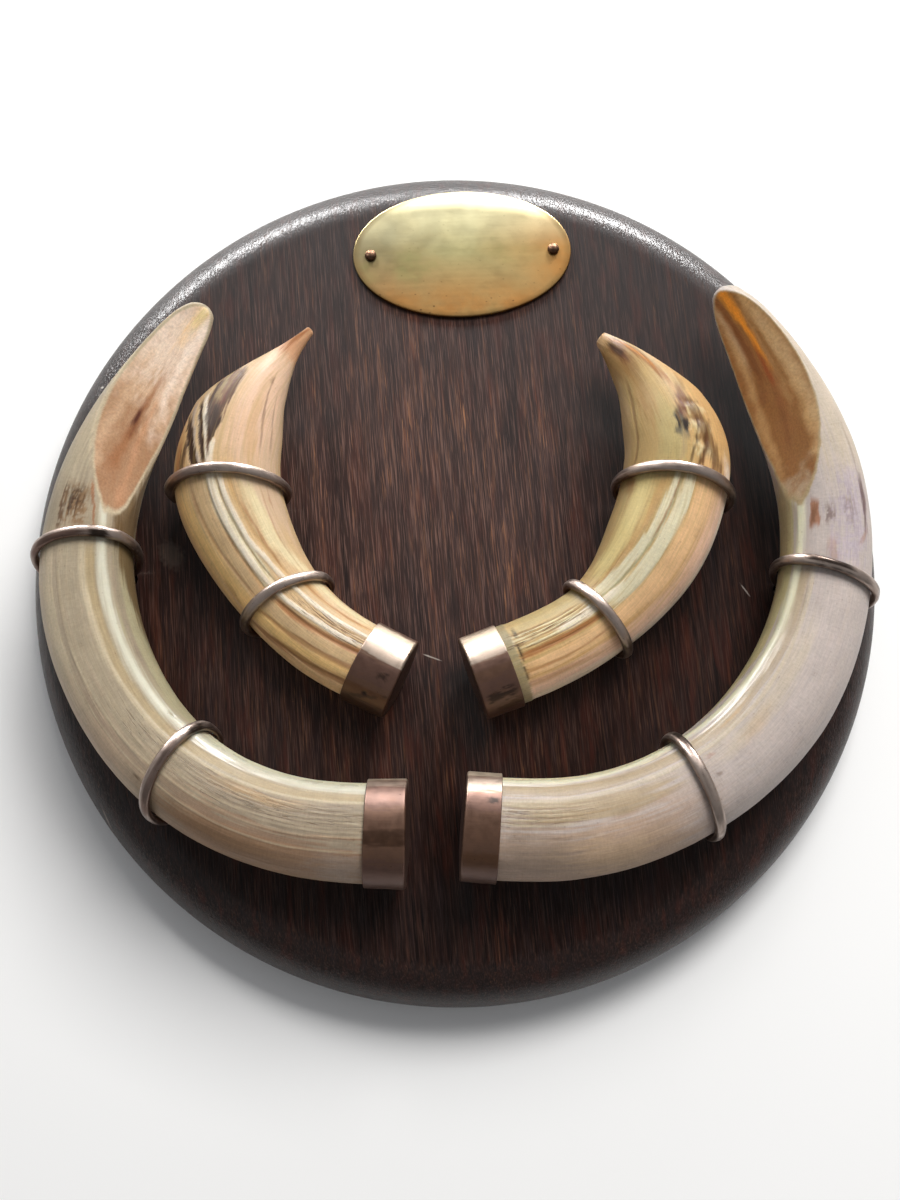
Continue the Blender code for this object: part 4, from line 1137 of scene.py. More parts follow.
def hoop_line(tusk, hoop):
    """The whole middle line, leg to leg, evenly spaced and eased at the two corners."""
    points, out, angle = hoop_arch(tusk, hoop)
    _, _, forward = hoop_frame(tusk, hoop[0])
    pieces, turns, marks = [], [], []
    for end, order in ((0, 1), (-1, -1)):
        top = points[end]
        heights = np.arange(LEG_END, top[2] - LEG_STEP, LEG_STEP)
        leg = np.empty((len(heights), 3))
        leg[:, :2] = top[:2] + forward * (hoop[1] * (np.maximum(heights, BOARD_TOP) - top[2]))[:, None]
        leg[:, 2] = heights
        pieces.append(leg[::order])
        turns.append(np.repeat(out[end][None], len(heights), 0)[::order])
        marks.append(np.repeat(angle[end] * LEG_MARK, len(heights)))
    line = np.concatenate([pieces[0], points, pieces[1]])
    facing = np.concatenate([turns[0], out, turns[1]])
    mark = np.concatenate([marks[0], angle, marks[1]])
    travelled = np.concatenate([[0.0], np.cumsum(np.linalg.norm(np.diff(line, axis=0), axis=1))])
    even = np.linspace(0.0, travelled[-1], int(travelled[-1] / PATH_STEP))
    line, facing = (np.stack([np.interp(even, travelled, part[:, axis]) for axis in range(3)], -1)
                    for part in (line, facing))
    for _ in range(SMOOTHING_PASSES):
        line[1:-1] = (line[:-2] + 2 * line[1:-1] + line[2:]) / 4
        facing[1:-1] = (facing[:-2] + 2 * facing[1:-1] + facing[2:]) / 4
    return line, facing, np.interp(even, travelled, mark), even


for name, tusk in tusks.items():
    print(name, [round(hoop_line(tusk, hoop)[3][-1]) for hoop in tusk.plan["hoops"]], "mm of wire")


# %% Hoop meshes
WIRE_SIDES = 28
GRIT_DEPTH, HAMMERED = 0.05, 0.05  # millimetres, and a share of the thickness


def wire_section():
    """Half-round wire: (out, along) points round its edge, flat towards the tusk."""
    turn = np.arange(WIRE_SIDES) * 2 * math.pi / WIRE_SIDES
    out = np.where(np.cos(turn) > 0, np.cos(turn), np.sign(np.cos(turn)) * np.abs(np.cos(turn)) ** 0.45)
    along = np.sign(np.sin(turn)) * np.abs(np.sin(turn)) ** 0.85
    return out * WIRE_THICKNESS / 2, along * WIRE_WIDTH / 2, turn


def make_hoop(name, tusk, hoop, spots, seed):
    """A hoop: its middle line, dressed with the wire's section and roughened."""
    line, facing, mark, travelled = hoop_line(tusk, hoop)
    ahead = np.gradient(line, axis=0)
    ahead /= np.linalg.norm(ahead, axis=-1, keepdims=True)
    sideways = np.cross(ahead, facing)
    sideways /= np.linalg.norm(sideways, axis=-1, keepdims=True)
    facing = np.cross(sideways, ahead)
    out, along, turn = wire_section()
    run, side = np.meshgrid(travelled, turn, indexing="ij")
    grit = layered_noise(run / 5.0, side / 1.3, seed, 3)
    thick = 1.0 + HAMMERED * cell_noise(np.stack([travelled / 9.0, 0 * travelled], -1), seed)[:, None]
    points = line[:, None] + facing[:, None] * (out * thick + GRIT_DEPTH * grit * np.cos(side))[..., None]
    points = points + sideways[:, None] * (along * thick + GRIT_DEPTH * grit * np.sin(side))[..., None]
    place = np.repeat(mark[:, None], WIRE_SIDES, 1)
    colour, _ = painted("wire", spots, place, np.degrees(side), seed)
    mesh = skin_mesh(name, points)
    store(mesh, "paint", colour)
    store(mesh, "lengthwise", np.stack([run, side * 1.5, 0 * run], -1))
    return add_piece("wire_" + name, mesh, name)


print("wire section:", WIRE_WIDTH, "x", WIRE_THICKNESS, "mm")

# %% Tarnish and painted shade on the hoops
ALL_ROUND = 400  # degrees, more than a full turn of the wire


def tarnish(name, start, end, strength, broken, fade):
    """A stroke round the whole wire, between two angles over the arch."""
    return stroke(name, ((start, 0), (end, 0)), ALL_ROUND, strength, 0, broken, fade=fade)


HOOP_SPOTS = {
    "upper_hoop_left_base": [tarnish("ink", 36, 62, 0.9, 0.35, 6), tarnish("mauve", -70, 20, 0.6, 0.4, 8)],
    "upper_hoop_left_tip": [tarnish("ink", 12, 34, 0.95, 0.3, 5), tarnish("mauve", -70, 8, 0.85, 0.3, 8)],
    "upper_hoop_right_base": [tarnish("ink", 30, 72, 0.9, 0.3, 8)],
    "upper_hoop_right_tip": [tarnish("ink", -14, 34, 0.95, 0.2, 8)],
    "lower_hoop_left_tip": [tarnish("mauve", -70, -10, 0.5, 0.4, 8)],
    "lower_hoop_right_tip": [tarnish("soot", 50, 90, 0.6, 0.4, 8)],
}


def hoop_strokes(name):
    """The wire has painted shade on its sides and underside, soot at the arch's shoulders and dull legs."""
    # Painted shade: umber over all of the wire's section except its crest, along the whole arch
    strokes = [stroke("umber", ((-150, 180), (150, 180)), 130, 0.8)]
    strokes += [tarnish("soot", side, side + 24, 0.6, 0.5, 10) for side in (-74, 66)]
    strokes += [tarnish("mauve", side, side + 60, 0.75, 0.2, 14) for side in (-150, 90)]
    return strokes + HOOP_SPOTS.get(name, [])


hoops = {}
for tusk_name, tusk in tusks.items():
    for hoop, end in zip(tusk.plan["hoops"], ("base", "tip")):
        name = tusk_name.replace("tusk", "hoop") + "_" + end
        hoops[name] = make_hoop(name, tusk, hoop, hoop_strokes(name), 500 + 13 * len(hoops))
print("hoops:", {name: len(hoop_strokes(name)) for name in hoops}, "strokes")

# %% [markdown]
# ## Plaque
#
# The plaque is turned from one board of a dark, open-grained hardwood: a flat face, a rounded
# shoulder, an upright side and a slightly eased foot. It is a profile carried round in a circle,
# a little longer along the grain, since wood shrinks across it. The holes for the hoops' legs
# and the plate's pins are real holes, cut with a Boolean modifier. Edges of more than 40
# degrees are marked sharp afterwards, so that the holes don't bend the shading of the flat face.

# %% Plaque outline
BOARD_RADIUS = 140.0
BOARD_ALONG_GRAIN = 1.012
SHOULDER_WIDTH = 16.0
SHOULDER_DROP = 15.0
FOOT_ROUND = 2.0
BOARD_SIDES = 400
MIDDLE_RADIUS = 0.02  # the last ring round a middle


def board_outline():
    """The plaque's profile from the middle of the foot to the middle of the face."""
    points = [(MIDDLE_RADIUS, 0.0), (BOARD_RADIUS - FOOT_ROUND, 0.0)]
    for turn in np.linspace(0.0, math.pi / 2, 6)[1:]:
        points.append((BOARD_RADIUS - FOOT_ROUND * (1 - math.sin(turn)), FOOT_ROUND * (1 - math.cos(turn))))
    side = BOARD_TOP - SHOULDER_DROP
    points += [(BOARD_RADIUS, height) for height in np.linspace(FOOT_ROUND, side, 6)[1:-1]]
    for turn in np.linspace(math.pi / 2, 0.0, 22):
        radius = BOARD_RADIUS - SHOULDER_WIDTH * (1 - math.sin(turn))
        points.append((radius, BOARD_TOP - SHOULDER_DROP * (1 - math.cos(turn))))
    points += [(BOARD_RADIUS - SHOULDER_WIDTH - 1.0, BOARD_TOP), (MIDDLE_RADIUS, BOARD_TOP)]
    return np.array(points)


outline = board_outline()
print("outline:", len(outline), "points")

# %% Drilling
HOLE_SIDES = 24
ABOVE_THE_FACE = 4.0


def drill(piece, name, places, radius, bottom):
    """Cuts round holes straight down from the face, once the modifiers are baked."""
    turn = np.linspace(0.0, 2 * math.pi, HOLE_SIDES, endpoint=False)
    points, faces = [], []
    for x, y in places:
        low = [len(points) + index for index in range(HOLE_SIDES)]
        high = [index + HOLE_SIDES for index in low]
        for height in (bottom, BOARD_TOP + ABOVE_THE_FACE):
            points += [
                (MM * (x + radius * math.cos(angle)), MM * (y + radius * math.sin(angle)), MM * height)
                for angle in turn
            ]
        faces += [low[::-1], high]
        faces += zip(low, low[1:] + low[:1], high[1:] + high[:1], high)
    mesh = bpy.data.meshes.new(name)
    mesh.from_pydata(points, [], faces)
    cutter = bpy.data.objects.new(name, mesh)
    scene.collection.objects.link(cutter)
    step = piece.modifiers.new(name, "BOOLEAN")
    step.operation = "DIFFERENCE"
    step.solver = "EXACT"
    step.object = cutter
    return cutter


def bake_modifiers(piece):
    """Replaces a piece's mesh by what its modifiers make of it."""
    bpy.context.view_layer.update()
    shown = piece.evaluated_get(bpy.context.evaluated_depsgraph_get())
    mesh = bpy.data.meshes.new_from_object(shown)
    piece.modifiers.clear()
    piece.data = mesh


# %% Plaque
SHARP_EDGE = math.radians(40.0)
LEG_HOLE_RADIUS = 2.5
LEG_HOLE_END = LEG_END - 0.6
PIN_HOLE_RADIUS = 1.15
PIN_HOLE_END = BOARD_TOP - 9.0
PLATE_CENTRE = np.array([2.4, 107.2])
PLATE_TURN = math.radians(2.3)
PIN_SPACING = 62.4

turn = np.linspace(0.0, 2 * math.pi, BOARD_SIDES, endpoint=False)
ring = np.stack([np.cos(turn), BOARD_ALONG_GRAIN * np.sin(turn)], -1)
board_points = np.concatenate(
    [outline[:, :1, None] * ring[None], np.repeat(outline[:, 1, None, None], BOARD_SIDES, 1)], -1
)
board = add_piece("wood_plaque", skin_mesh("plaque", board_points), "plaque")
leg_places = []
for tusk in tusks.values():
    for hoop in tusk.plan["hoops"]:
        line, _, _, _ = hoop_line(tusk, hoop)
        leg_places += [line[0, :2], line[-1, :2]]
along_plate = np.array([math.cos(PLATE_TURN), math.sin(PLATE_TURN)])
pin_places = [PLATE_CENTRE - along_plate * PIN_SPACING / 2, PLATE_CENTRE + along_plate * PIN_SPACING / 2]
cutters = [
    drill(board, "leg_holes", leg_places, LEG_HOLE_RADIUS, LEG_HOLE_END),
    drill(board, "pin_holes", pin_places, PIN_HOLE_RADIUS, PIN_HOLE_END),
]
bake_modifiers(board)
for cutter in cutters:
    bpy.data.objects.remove(cutter)
board.data.set_sharp_from_angle(angle=SHARP_EDGE)
print("plaque:", len(board.data.polygons), "faces,", len(leg_places), "leg holes")

# %% [markdown]
# ## Name plate and pins
#
# The plate is a thin oval of brass with a filed edge. Its top hangs over the plaque's shoulder
# and is bent down with it, so that it catches the light from beyond the top edge. It is left
# bare. Two round-headed pins of darker bronze hold it. The plate is a grid of ovals inside each
# other, and a pin is a profile turned in a circle.

# %% Name plate
PLATE_LENGTH = 74.5
PLATE_HEIGHT = 47.0
PLATE_THICKNESS = 1.2
PLATE_EDGE = 0.35
PLATE_BEND_AT = 123.0  # the plate is bent down beyond this distance from the plaque's centre
PLATE_BEND = 1.08  # and by this much at PLATE_REACH
PLATE_REACH = 130.7
PLATE_SIDES = 220
PLATE_BACK_INSET = 0.15
PLATE_FACE_FROM = 12  # the first ring that lies on the face
PLATE_WAVE = 0.03
PLATE_SHARP_EDGE = math.radians(50.0)
PLATE_HOLE_END = BOARD_TOP - 2.0


def plate_rings():
    """(share of the oval, inset, height) from the middle of the back to the middle of the face."""
    top = BOARD_TOP + GAP + PLATE_THICKNESS
    bottom = BOARD_TOP + GAP
    rings = [(share, PLATE_BACK_INSET, bottom) for share in (0.01, 0.5, 0.9, 1.0)]
    rings += [(1.0, 0.0, bottom + 0.1), (1.0, 0.0, top - PLATE_EDGE)]
    for step in np.linspace(0.0, math.pi / 2, 7)[1:]:
        inset = PLATE_EDGE * (1 - math.cos(step))
        rings.append((1.0, inset, top - PLATE_EDGE * (1 - math.sin(step))))
    rings += [(share, PLATE_EDGE, top) for share in np.linspace(0.985, 0.01, 46)]
    return np.array(rings)


def make_plate():
    """The plate in its place, bent over the shoulder, with a face that isn't quite flat."""
    rings = plate_rings()
    turn = np.linspace(0.0, 2 * math.pi, PLATE_SIDES, endpoint=False)
    x = (rings[:, :1] * (PLATE_LENGTH / 2 - rings[:, 1:2])) * np.cos(turn)
    y = (rings[:, :1] * (PLATE_HEIGHT / 2 - rings[:, 1:2])) * np.sin(turn)
    face = (np.arange(len(rings)) >= PLATE_FACE_FROM)[:, None]
    wave = layered_noise(x / 16.0, y / 13.0, 77, 2)
    turned_x = PLATE_CENTRE[0] + x * math.cos(PLATE_TURN) - y * math.sin(PLATE_TURN)
    turned_y = PLATE_CENTRE[1] + x * math.sin(PLATE_TURN) + y * math.cos(PLATE_TURN)
    beyond = np.maximum(np.hypot(turned_x, turned_y) - PLATE_BEND_AT, 0.0) / (PLATE_REACH - PLATE_BEND_AT)
    uneven = np.where(face, PLATE_WAVE * wave * (1 - rings[:, :1] ** 8), 0.0)
    z = rings[:, 2:3] + uneven - PLATE_BEND * beyond**2
    mesh = skin_mesh("name_plate", np.stack([turned_x, turned_y, z], -1))
    store(mesh, "lengthwise", np.stack([x, y, z], -1))
    store(mesh, "edge", smoothstep(0.9, 1.0, rings[:, :1]) + 0 * x)
    return add_piece("brass_name_plate", mesh, "name_plate")


plate = make_plate()
cutter = drill(plate, "plate_holes", pin_places, PIN_HOLE_RADIUS, PLATE_HOLE_END)
bake_modifiers(plate)
bpy.data.objects.remove(cutter)
plate.data.set_sharp_from_angle(angle=PLATE_SHARP_EDGE)
print("plate:", len(plate.data.polygons), "faces")

# %% Pins
PIN_HEAD_RADIUS = 2.0
PIN_HEAD_HEIGHT = 1.5
PIN_SHANK_RADIUS = 0.8
PIN_LENGTH = 8.0
PIN_POINT = 1.5
PIN_SIDES = 56
PIN_FLATTENED, PIN_KNOCKS = 0.06, 0.06  # what wear and knocks took off the head


def pin_outline():
    """A pin from its point to the crown of its head: (radius, height above the plate)."""
    points = [(MIDDLE_RADIUS, -PIN_LENGTH), (PIN_SHANK_RADIUS, PIN_POINT - PIN_LENGTH)]
    points += [(PIN_SHANK_RADIUS, -0.02)]
    points += [(PIN_HEAD_RADIUS - 0.25, 0.0), (PIN_HEAD_RADIUS - 0.06, 0.07)]
    for step in np.linspace(0.1, math.pi / 2 - 0.02, 16):
        points.append((PIN_HEAD_RADIUS * math.cos(step), PIN_HEAD_HEIGHT * math.sin(step)))
    return np.array(points)


def make_pin(name, place):
    """A pin in its hole, with a head that knocks have flattened a little."""
    outline = pin_outline()
    turn = np.linspace(0.0, 2 * math.pi, PIN_SIDES, endpoint=False)
    radius, direction = np.meshgrid(outline[:, 0], turn, indexing="ij")
    height = np.repeat(outline[:, 1:], PIN_SIDES, 1)
    x, y = radius * np.cos(direction), radius * np.sin(direction)
    knocks = PIN_KNOCKS * layered_noise(x, y, 5, 2)
    under_head = BOARD_TOP + PLATE_THICKNESS + 2 * GAP
    height = under_head + height - np.where(height > 0.2, PIN_FLATTENED + knocks, 0.0)
    mesh = skin_mesh(name, np.stack([place[0] + x, place[1] + y, height], -1))
    return add_piece("bronze_" + name, mesh, name)


pins = {}
for side, place in zip(("left", "right"), pin_places):
    pins["plate_pin_" + side] = make_pin("plate_pin_" + side, place)
print("pins:", list(pins))

# %% [markdown]
# ## Effects that several finishes share
#
# Three effects come back in many finishes. "Grain lines" is noise stretched along one direction:
# growth lines in ivory, brush marks in brass, drawing marks in wire, fibres in wood. "Specks"
# are small scattered spots of dirt and tarnish. "Clouds" is soft uneven patches. Each is a node
# group, built once, and every finish gives it its own sizes in millimetres.


# %% Node groups
def new_group(name, sizes, result):
    """An empty node group: a place and some sizes go in, and one number comes out."""
    group = bpy.data.node_groups.new(name, "ShaderNodeTree")
    group.interface.new_socket("Place", in_out="INPUT", socket_type="NodeSocketVector")
    for label, value in sizes.items():
        socket = group.interface.new_socket(label, in_out="INPUT", socket_type="NodeSocketFloat")
        socket.default_value = value
    group.interface.new_socket(result, in_out="OUTPUT", socket_type="NodeSocketFloat")
    given = group.nodes.new("NodeGroupInput").outputs
    return group, given, group.nodes.new("NodeGroupOutput").inputs[result]


def stretched(group, given, length, width):
    """The incoming place, divided by one size along the grain and another across it."""
    size = {0: given[length], 1: given[width], 2: given[width]}
    size = add_node(group, "ShaderNodeCombineXYZ", size).outputs[0]
    return vector_maths(group, "DIVIDE", given["Place"], size)


def grain_lines_group():
    group, given, result = new_group("grain_lines", {"Length": 20.0, "Width": 1.0, "Bend": 0.3}, "Lines")
    place = stretched(group, given, "Length", "Width")
    inputs = {"Vector": place, "Scale": 1.0, "Detail": 3.0, "Roughness": 0.55, "Distortion": given["Bend"]}
    noise = add_node(group, "ShaderNodeTexNoise", inputs)
    group.links.new(spread(group, noise.outputs["Fac"], 0.25, 0.75), result)
    return group


def specks_group():
    """Round spots in scattered cells. Amount is the share of the cells that have a spot."""
    sizes = {"Length": 2.0, "Width": 2.0, "Amount": 0.3, "Size": 0.3}
    group, given, result = new_group("specks", sizes, "Mask")
    place = stretched(group, given, "Length", "Width")
    cells = add_node(group, "ShaderNodeTexVoronoi", {"Vector": place, "Scale": 1.0, "Randomness": 1.0})
    luck = add_node(group, "ShaderNodeSeparateColor", {0: cells.outputs["Color"]}).outputs
    chosen = maths(group, "LESS_THAN", luck[0], given["Amount"])
    size = times(group, given["Size"], between(group, luck[1], 0.45, 1.0))
    dot = spread(group, cells.outputs["Distance"], times(group, size, 0.45), size, 1.0, 0.0)
    group.links.new(times(group, dot, chosen), result)
    return group


def clouds_group():
    group, given, result = new_group("clouds", {"Size": 10.0}, "Clouds")
    place = stretched(group, given, "Size", "Size")
    inputs = {"Vector": place, "Scale": 1.0, "Detail": 4.0, "Roughness": 0.6}
    noise = add_node(group, "ShaderNodeTexNoise", inputs)
    group.links.new(spread(group, noise.outputs["Fac"], 0.3, 0.7), result)
    return group


EFFECTS = {"grain_lines": grain_lines_group(), "specks": specks_group(), "clouds": clouds_group()}
print("effects:", {name: len(group.nodes) for name, group in EFFECTS.items()}, "nodes")


# %% Helpers for finishes
def effect(tree, name, place, **sizes):
    """One of the three effects, at the sizes that a finish asks for."""
    return add_node(tree, "ShaderNodeGroup", {"Place": place, **sizes}, node_tree=EFFECTS[name]).outputs[0]


def new_finish(name, **sockets):
    """A material, its tree, and its Principled BSDF with the values that are the same all over."""
    material = bpy.data.materials.new(name)
    material.use_nodes = True
    shader = material.node_tree.nodes["Principled BSDF"]
    for key, value in sockets.items():
        shader.inputs[key.replace("_", " ")].default_value = value
    return material, material.node_tree, shader


def join(tree, socket, shader, name):
    tree.links.new(socket, shader.inputs[name])


def add_bump(tree, shader, height, strength, depth=1.0):
    """Dents the surface in the light only. Height is in millimetres, times depth."""
    inputs = {"Height": height, "Distance": MM * depth, "Strength": strength}
    normal = add_node(tree, "ShaderNodeBump", inputs).outputs["Normal"]
    join(tree, normal, shader, "Normal")
    return normal


def place_in_mm(tree):
    """Where a point is in the object, in millimetres."""
    return vector_maths(tree, "SCALE", add_node(tree, "ShaderNodeTexCoord").outputs["Object"], 1 / MM)


finishes = {}

# %% [markdown]
# ## Ivory
#
# Tooth ivory is dense and a little see-through, so light goes a short way into it. Its finish
# starts from the painted bands and varies them with long growth lines, finer lines and soft
# clouds. Where the mesh says the cement is cracked, thin dark lines follow the grain. The ridge
# is polished, the outside of the curve is matte, and the worn face is mottled. The lower tusks
# get stronger lines and cracks than the upper ones.


# %% Ivory finish
def ivory_finish(name, line_depth, warm, crack_depth):
    """Line depth is the growth lines' contrast, warm their ochre, crack depth the cracks' dark."""
    material, tree, shader = new_finish(
        name, IOR=1.5, Subsurface_Weight=0.12, Subsurface_Scale=0.0012, Subsurface_Radius=(1.0, 0.55, 0.3),
        Specular_IOR_Level=0.14, Coat_Roughness=0.3, Coat_IOR=1.5
    )
    place = read_mesh(tree, "lengthwise", "Vector")
    bands = read_mesh(tree, "paint", "Color")
    polish, crackle, worn = (read_mesh(tree, label) for label in ("polish", "crackle", "worn"))
    long_lines = effect(tree, "grain_lines", place, Length=34.0, Width=1.5)
    fine_lines = effect(tree, "grain_lines", place, Length=11.0, Width=0.42)
    hair_lines = effect(tree, "grain_lines", place, Length=5.0, Width=0.2)
    part = add_node(tree, "ShaderNodeSeparateXYZ", {0: place}).outputs
    turned = add_node(tree, "ShaderNodeCombineXYZ", {0: part[1], 1: part[0], 2: part[2]}).outputs[0]
    cross_lines = effect(tree, "grain_lines", turned, Length=5.0, Width=0.35)
    weave = effect(tree, "clouds", place, Size=0.9)
    clouds = effect(tree, "clouds", place, Size=7.0)
    patches = effect(tree, "clouds", place, Size=3.4)
    dots = effect(tree, "specks", place, Length=1.6, Width=1.2, Amount=0.16, Size=0.3)
    cracks = effect(tree, "grain_lines", place, Length=8.0, Width=0.5, Bend=1.2)

    # Lighter and darker lines along the tusk, quieter where it is polished or worn
    tone = total(
        tree,
        between(tree, long_lines, -line_depth, line_depth),
        between(tree, fine_lines, -0.09, 0.07),
        between(tree, clouds, -0.07, 0.07),
        between(tree, hair_lines, -0.06, 0.06),
    )
    tone = times(tree, tone, between(tree, maths(tree, "MAXIMUM", polish, worn), 1.0, 0.3))
    # Grit that runs across the grain, and the mottled worn face
    grit = maths(tree, "MULTIPLY_ADD", cross_lines, 0.6, times(tree, weave, 0.8))
    grit = spread(tree, grit, 0.2, 1.2, -0.1, 0.1)
    tone = maths(tree, "MULTIPLY_ADD", grit, between(tree, polish, 1.0, 0.4), tone)
    tone = maths(tree, "MULTIPLY_ADD", worn, between(tree, weave, -0.08, 0.08), tone)
    colour = vector_maths(tree, "SCALE", bands, maths(tree, "ADD", tone, 1.0))

    # Ochre in the growth lines, dark cracks, rusty patches on the worn face, and dirt
    colour = blend(tree, spread(tree, long_lines, 0.5, 1.0, 0.0, warm), colour, PAINTS["ochre"])
    crack = times(tree, spread(tree, cracks, 0.36, 0.2), crackle)
    colour = blend(tree, times(tree, crack, crack_depth), colour, PAINTS["umber"])
    blotch = times(tree, worn, spread(tree, patches, 0.45, 1.0, 0.0, 0.22))
    colour = blend(tree, blotch, colour, PAINTS["rust"])
    colour = blend(tree, times(tree, dots, 0.22), colour, PAINTS["umber"])
    join(tree, colour, shader, "Base Color")

    rough = maths(tree, "SUBTRACT", between(tree, clouds, 0.42, 0.55), times(tree, polish, 0.2))
    join(tree, rough, shader, "Roughness")
    join(tree, times(tree, polish, 0.3), shader, "Coat Weight")
    height = maths(tree, "MULTIPLY_ADD", fine_lines, 0.03, times(tree, hair_lines, 0.012))
    height = maths(tree, "SUBTRACT", height, times(tree, crack, 0.12))
    add_bump(tree, shader, height, 0.8)
    return material


finishes["upper_ivory"] = ivory_finish("upper_ivory", line_depth=0.05, warm=0.08, crack_depth=0.35)
finishes["lower_ivory"] = ivory_finish("lower_ivory", line_depth=0.13, warm=0.5, crack_depth=0.7)
for tusk_name, piece in ivory.items():
    piece.data.materials.append(finishes[tusks[tusk_name].kind + "_ivory"])
print("ivory finishes:", list(finishes))

# %% [markdown]
# ## Worn silver and tarnished wire
#
# The caps and hoops are metal, so their colour is mostly the colour of what they reflect. The
# painted bands tint it. On the caps they are partly painted reflections, and on the hoops partly
# painted shade. Thin scratches, clouds of tarnish and dark specks break it up. Metal is duller
# where it is tarnished. The caps' silvering is worn thin and half hidden under tarnish, so they
# count as a little more than half metal.


# %% Metal finishes
def worn_metal(name, metallic, scratches, rough, specks):
    """Scratches are (length, width) in millimetres, rough is (least, most), specks are a share."""
    material, tree, shader = new_finish(name, Metallic=metallic)
    place = read_mesh(tree, "lengthwise", "Vector")
    bands = read_mesh(tree, "paint", "Color")
    scratched = effect(tree, "grain_lines", place, Length=scratches[0], Width=scratches[1])
    clouds = effect(tree, "clouds", place, Size=2.6)
    broad = effect(tree, "clouds", place, Size=7.0)
    dots = effect(tree, "specks", place, Length=1.1, Width=1.1, Amount=specks, Size=0.4)

    tone = total(
        tree,
        between(tree, clouds, -0.1, 0.08),
        between(tree, broad, -0.1, 0.08),
        between(tree, scratched, 0.94, 1.06),
    )
    colour = vector_maths(tree, "SCALE", bands, tone)
    colour = blend(tree, spread(tree, clouds, 0.62, 1.0, 0.0, 0.2), colour, PAINTS["umber"])
    colour = blend(tree, times(tree, dots, 0.45), colour, PAINTS["ink"])
    join(tree, colour, shader, "Base Color")

    dull = total(
        tree, between(tree, clouds, *rough), times(tree, dots, 0.3), between(tree, scratched, -0.03, 0.03)
    )
    join(tree, dull, shader, "Roughness")
    height = maths(tree, "MULTIPLY_ADD", scratched, 0.01, times(tree, clouds, 0.03))
    add_bump(tree, shader, height, 0.6)
    return material


for name, metallic, scratches, rough, specks in (
    ("silver", 0.55, (14.0, 0.2), (0.34, 0.48), 0.03),
    ("wire", 0.85, (9.0, 0.25), (0.26, 0.42), 0.1),
):
    finishes[name] = worn_metal(name, metallic, scratches, rough, specks)
for piece in caps.values():
    piece.data.materials.append(finishes["silver"])
for piece in hoops.values():
    piece.data.materials.append(finishes["wire"])
print("silver on", len(caps), "caps, wire finish on", len(hoops), "hoops")

# %% [markdown]
# ## Brass plate and bronze pins
#
# The plate is brass with a faint brushing along its length. Along the top its colour is mixed
# towards a pale yellow, a painted highlight. It is greyish at the left, and orange towards the right
# and the lower edge. Handling and old polish left soft warm and greenish clouds and a few brown
# spots, most of them along the lower edge.

# %% Brass finish
BRASS = paint_chart(
    plain=(170, 160, 114),
    grey=(122, 112, 92),
    warm=(160, 138, 88),
    green=(140, 146, 98),
    orange=(180, 126, 68),
    bright=(226, 218, 176),
    dirt=(104, 84, 56),
    edge=(110, 86, 50),
    spots=(70, 50, 32),
)


def brass_finish():
    material, tree, shader = new_finish("brass", Metallic=1.0)
    place = read_mesh(tree, "lengthwise", "Vector")
    brushed = effect(tree, "grain_lines", place, Length=24.0, Width=0.35)
    clouds = effect(tree, "clouds", place, Size=20.0)
    small_clouds = effect(tree, "clouds", place, Size=7.0)
    dots = effect(tree, "specks", place, Length=1.5, Width=1.2, Amount=0.14, Size=0.34)
    part = add_node(tree, "ShaderNodeSeparateXYZ", {0: place}).outputs
    left = spread(tree, part["X"], -4.0, -34.0, 0.0, 0.75)
    right = spread(tree, part["X"], 4.0, 36.0)
    low = spread(tree, part["Y"], 0.0, -20.0)
    # Where the painted highlight lies, towards the top of the plate
    high = spread(tree, part["Y"], 1.0, 19.0)

    colour = blend(tree, left, BRASS["plain"], BRASS["grey"])
    colour = blend(tree, spread(tree, clouds, 0.2, 0.8, 0.0, 0.5), colour, BRASS["warm"])
    colour = blend(tree, spread(tree, clouds, 0.55, 0.9, 0.0, 0.5), colour, BRASS["green"])
    ruddy = times(tree, maths(tree, "MAXIMUM", low, right), spread(tree, clouds, 0.2, 0.8, 1.0, 0.45))
    colour = blend(tree, ruddy, colour, BRASS["orange"])
    # Painted highlight: the colour is mixed towards a pale yellow along the top
    colour = blend(tree, times(tree, high, between(tree, clouds, 0.95, 0.6)), colour, BRASS["bright"])
    dirt = times(tree, low, spread(tree, small_clouds, 0.5, 0.9, 0.0, 0.35))
    colour = blend(tree, dirt, colour, BRASS["dirt"])
    edge = spread(tree, read_mesh(tree, "edge"), 0.3, 1.0, 0.0, 0.5)
    colour = blend(tree, edge, colour, BRASS["edge"])
    colour = blend(tree, times(tree, dots, between(tree, low, 0.15, 0.7)), colour, BRASS["spots"])
    join(tree, colour, shader, "Base Color")

    rough = total(tree, between(tree, small_clouds, 0.32, 0.38), between(tree, brushed, -0.02, 0.02))
    join(tree, rough, shader, "Roughness")
    height = maths(tree, "MULTIPLY_ADD", brushed, 0.002, times(tree, small_clouds, 0.02))
    add_bump(tree, shader, height, 0.5)
    return material


finishes["brass"] = brass_finish()
plate.data.materials.clear()
plate.data.materials.append(finishes["brass"])
print("brass on", plate.name)

# %% Bronze finish
BRONZE_DARK = paint(74, 54, 42)
BRONZE_LIGHT = paint(116, 88, 70)


def bronze_finish():
    material, tree, shader = new_finish("bronze", Metallic=1.0)
    clouds = effect(tree, "clouds", place_in_mm(tree), Size=1.4)
    join(tree, blend(tree, clouds, BRONZE_DARK, BRONZE_LIGHT), shader, "Base Color")
    join(tree, between(tree, clouds, 0.52, 0.4), shader, "Roughness")
    add_bump(tree, shader, clouds, 0.6, depth=0.05)
    return material


finishes["bronze"] = bronze_finish()
for piece in pins.values():
    piece.data.materials.append(finishes["bronze"])
print("bronze on", list(pins))

